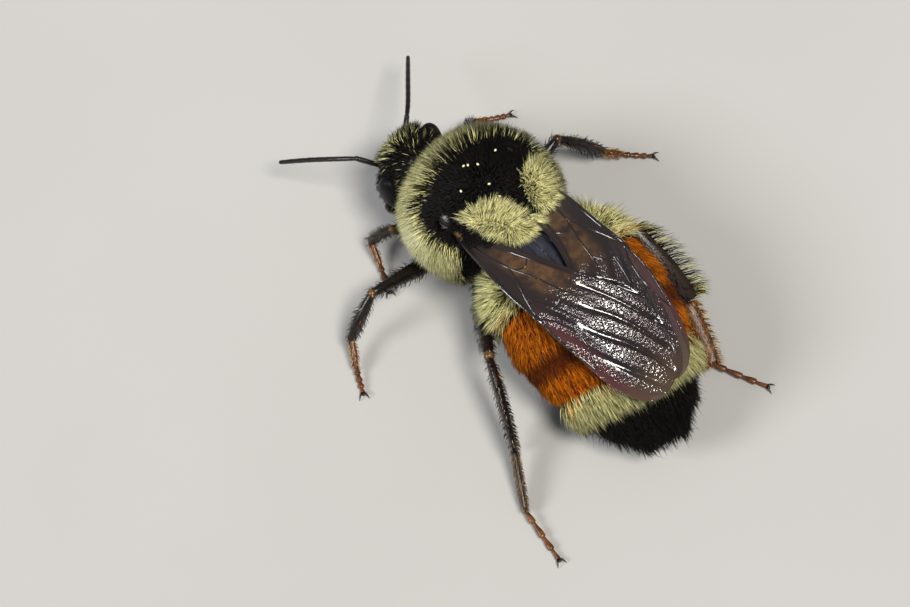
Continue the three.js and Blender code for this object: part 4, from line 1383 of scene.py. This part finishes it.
def along_margin(grid, edge, first, count, strip):
    """Roots near one margin of a flat segment, their way out from its middle line, the way along it and
    their place in the unwrap."""
    i = rng.uniform(first, len(grid) - 2, count)
    j = edge + rng.normal(0, 0.9, count)
    middle = read(np.broadcast_to(grid.mean(1, keepdims=True), grid.shape), i, j)
    roots = read(grid, i, j)
    flow = unit(read(np.gradient(grid, axis=0), i, j))
    uv = np.stack([i / (len(grid) - 1), (strip + 0.5 + 0 * j) / STRIPS], -1)
    return i, (roots, unit(roots - middle), flow, uv)


leg_sets = {"black": [], "orange": []}
rng = np.random.default_rng(300)
for order, (leg, grids) in enumerate(leg_grids.items()):
    for rank, (segment, grid) in enumerate(grids.items()):
        dense, length, lift, yellow, orange = DOWN[segment]
        count = int(dense * grid_area(grid))
        outside = normals_of(grid)
        share = None
        if segment == "tibia" and leg.startswith("hind"):   # the pollen basket is nearly bare outside
            outer_way = np.array([np.sign(grid[0, 0, 0]), 0.2, 0.6])
            share = 0.25 + 0.75 * (outside @ outer_way < 0.5)
        i, j = scatter(grid, count, rng, share)
        normal = unit(read(outside, i, j))
        flow = flatten_to(normal, unit(read(np.gradient(grid, axis=0), i, j)))
        strip = (order * 4 + rank + 0.1 + 0.8 * (j / grid.shape[1]) % 1) / STRIPS
        uv = np.stack([i / (len(grid) - 1), strip], -1)
        draw = rng.random(count)
        marking = np.stack([draw < yellow, rng.random(count) < orange, np.zeros(count)], -1).astype(float)
        if segment == "basitarsus":
            gold = GOLD.get(leg, 0.9)
            golden = [np.full(count, gold), gold * rng.uniform(0.3, 0.9, count), np.zeros(count)]
            marking = np.stack(golden, -1)
        row = read(grid, i, j), normal, flow, uv, marking, np.full(count, length), np.full(count, lift)
        leg_sets["orange" if segment == "basitarsus" else "black"].append(row)
    if leg in FRINGE:
        count, length, yellow = FRINGE[leg]
        grid = grids["tibia"]
        for edge in (grid.shape[1] // 4, 3 * grid.shape[1] // 4):
            i, places = along_margin(grid, edge, 3, count, order * 4 + 2)
            # painted highlight: a share of the fringe's hairs is painted pale, as glints
            pale = rng.random(count) < yellow
            marking = np.stack([pale, np.zeros(count), np.zeros(count)], -1).astype(float)
            size = length * np.sin(np.pi * np.clip(i / len(grid), 0.12, 0.8)) ** 0.6
            leg_sets["black"].append((*places, marking, size, np.full(count, 62.0)))
    if leg == "hind_right":
        grid = grids["basitarsus"]
        for edge in (grid.shape[1] // 4, 3 * grid.shape[1] // 4):
            _, places = along_margin(grid, edge, 2, COMB_HAIRS, order * 4 + 3)
            golden = [np.ones(COMB_HAIRS), rng.uniform(0.2, 0.8, COMB_HAIRS), np.zeros(COMB_HAIRS)]
            size, lift = np.full(COMB_HAIRS, COMB_LENGTH), np.full(COMB_HAIRS, 48.0)
            leg_sets["orange"].append((*places, np.stack(golden, -1), size, lift))

for word, sets in leg_sets.items():
    roots, normal, flow, uv, marking, length, lift = (np.concatenate(part) for part in zip(*sets))
    name = "coat_legs" if word == "black" else "coat_feet"
    fur(name, word, roots, normal, flow, uv, marking, rng, length, lift, 0.034, 16.0, 0.12, 0.05,
        near_legs=False)
print("coat triangles:", sum(count for name, count in pieces.items() if name.startswith("coat_")))

# %% [markdown]
# ## Floor, light and camera
# The stage is a plain pale floor. Two very soft suns light it: the key stands high behind the bee, and
# draws the glints out of her wings, and the fill stands lower on her left. The sky gives an even grey.
# The camera is a long lens over her left hip, given by its own right and up.

# %% Stage
recipe = Recipe("pale_floor", Roughness=0.7, Specular_IOR_Level=0.2)
soft = recipe.noise(0.04, 3.0)
floor_matter = recipe.set(Base_Color=recipe.mix(soft, (0.40, 0.395, 0.38), (0.45, 0.445, 0.43)))
bpy.ops.mesh.primitive_plane_add(size=60.0, location=(0, 0, 0))
floor = bpy.context.object
floor.name = "floor"
floor.data.materials.append(floor_matter)

world = bpy.data.worlds.new("studio")
bpy.context.scene.world = world
world.use_nodes = True
sky = world.node_tree.nodes["Background"]
sky.inputs["Color"].default_value = (0.90, 0.93, 1.0, 1)
sky.inputs["Strength"].default_value = 0.26


def lamp(name, way, strength, softness, colour):
    """A far lamp that shines from a direction; its softness is the angle that it spans, in degrees."""
    light = bpy.data.lights.new(name, "SUN")
    light.energy, light.angle, light.color = strength, math.radians(softness), colour
    made = bpy.data.objects.new(name, light)
    made.location = Vector(way).normalized() * 0.5
    made.rotation_euler = (-made.location).to_track_quat("-Z", "Y").to_euler()
    bpy.context.scene.collection.objects.link(made)


lamp("key", (0.047, 0.426, 0.903), 3.2, 18, (1.0, 0.96, 0.89))
lamp("fill", (0.78, -0.24, 0.58), 2.4, 22, (0.97, 0.98, 1.0))

# %% Camera
RIGHT, UP = np.array([-0.743145, 0.669131, 0.0]), np.array([-0.596193, -0.662139, 0.453990])
BACK = np.cross(RIGHT, UP)
AIM, DISTANCE = np.array([3.4125, 2.2955, 2.4674]), 160.0
PIXELS_PER_MM, PICTURE_WIDTH, SENSOR = 22.0, 910, 36.0
camera_data = bpy.data.cameras.new("camera")
camera_data.sensor_fit = "HORIZONTAL"
camera_data.sensor_width = SENSOR
camera_data.lens = SENSOR * PIXELS_PER_MM * DISTANCE / PICTURE_WIDTH
camera_data.clip_start, camera_data.clip_end = 0.01, 20.0
camera = bpy.data.objects.new("camera", camera_data)
columns = np.eye(4)
columns[:3, :3] = np.stack([RIGHT, UP, BACK], 1)
columns[:3, 3] = settle(AIM + BACK * DISTANCE)
camera.matrix_world = Matrix(columns.tolist())
bpy.context.scene.collection.objects.link(camera)
bpy.context.scene.camera = camera
bpy.context.scene.view_settings.view_transform = "Standard"

# %% [markdown]
# ## Pieces and triangles
# The number of pieces and of triangles is printed.

# %% Pieces and triangles
print("pieces:", len(pieces), "triangles:", sum(pieces.values()))
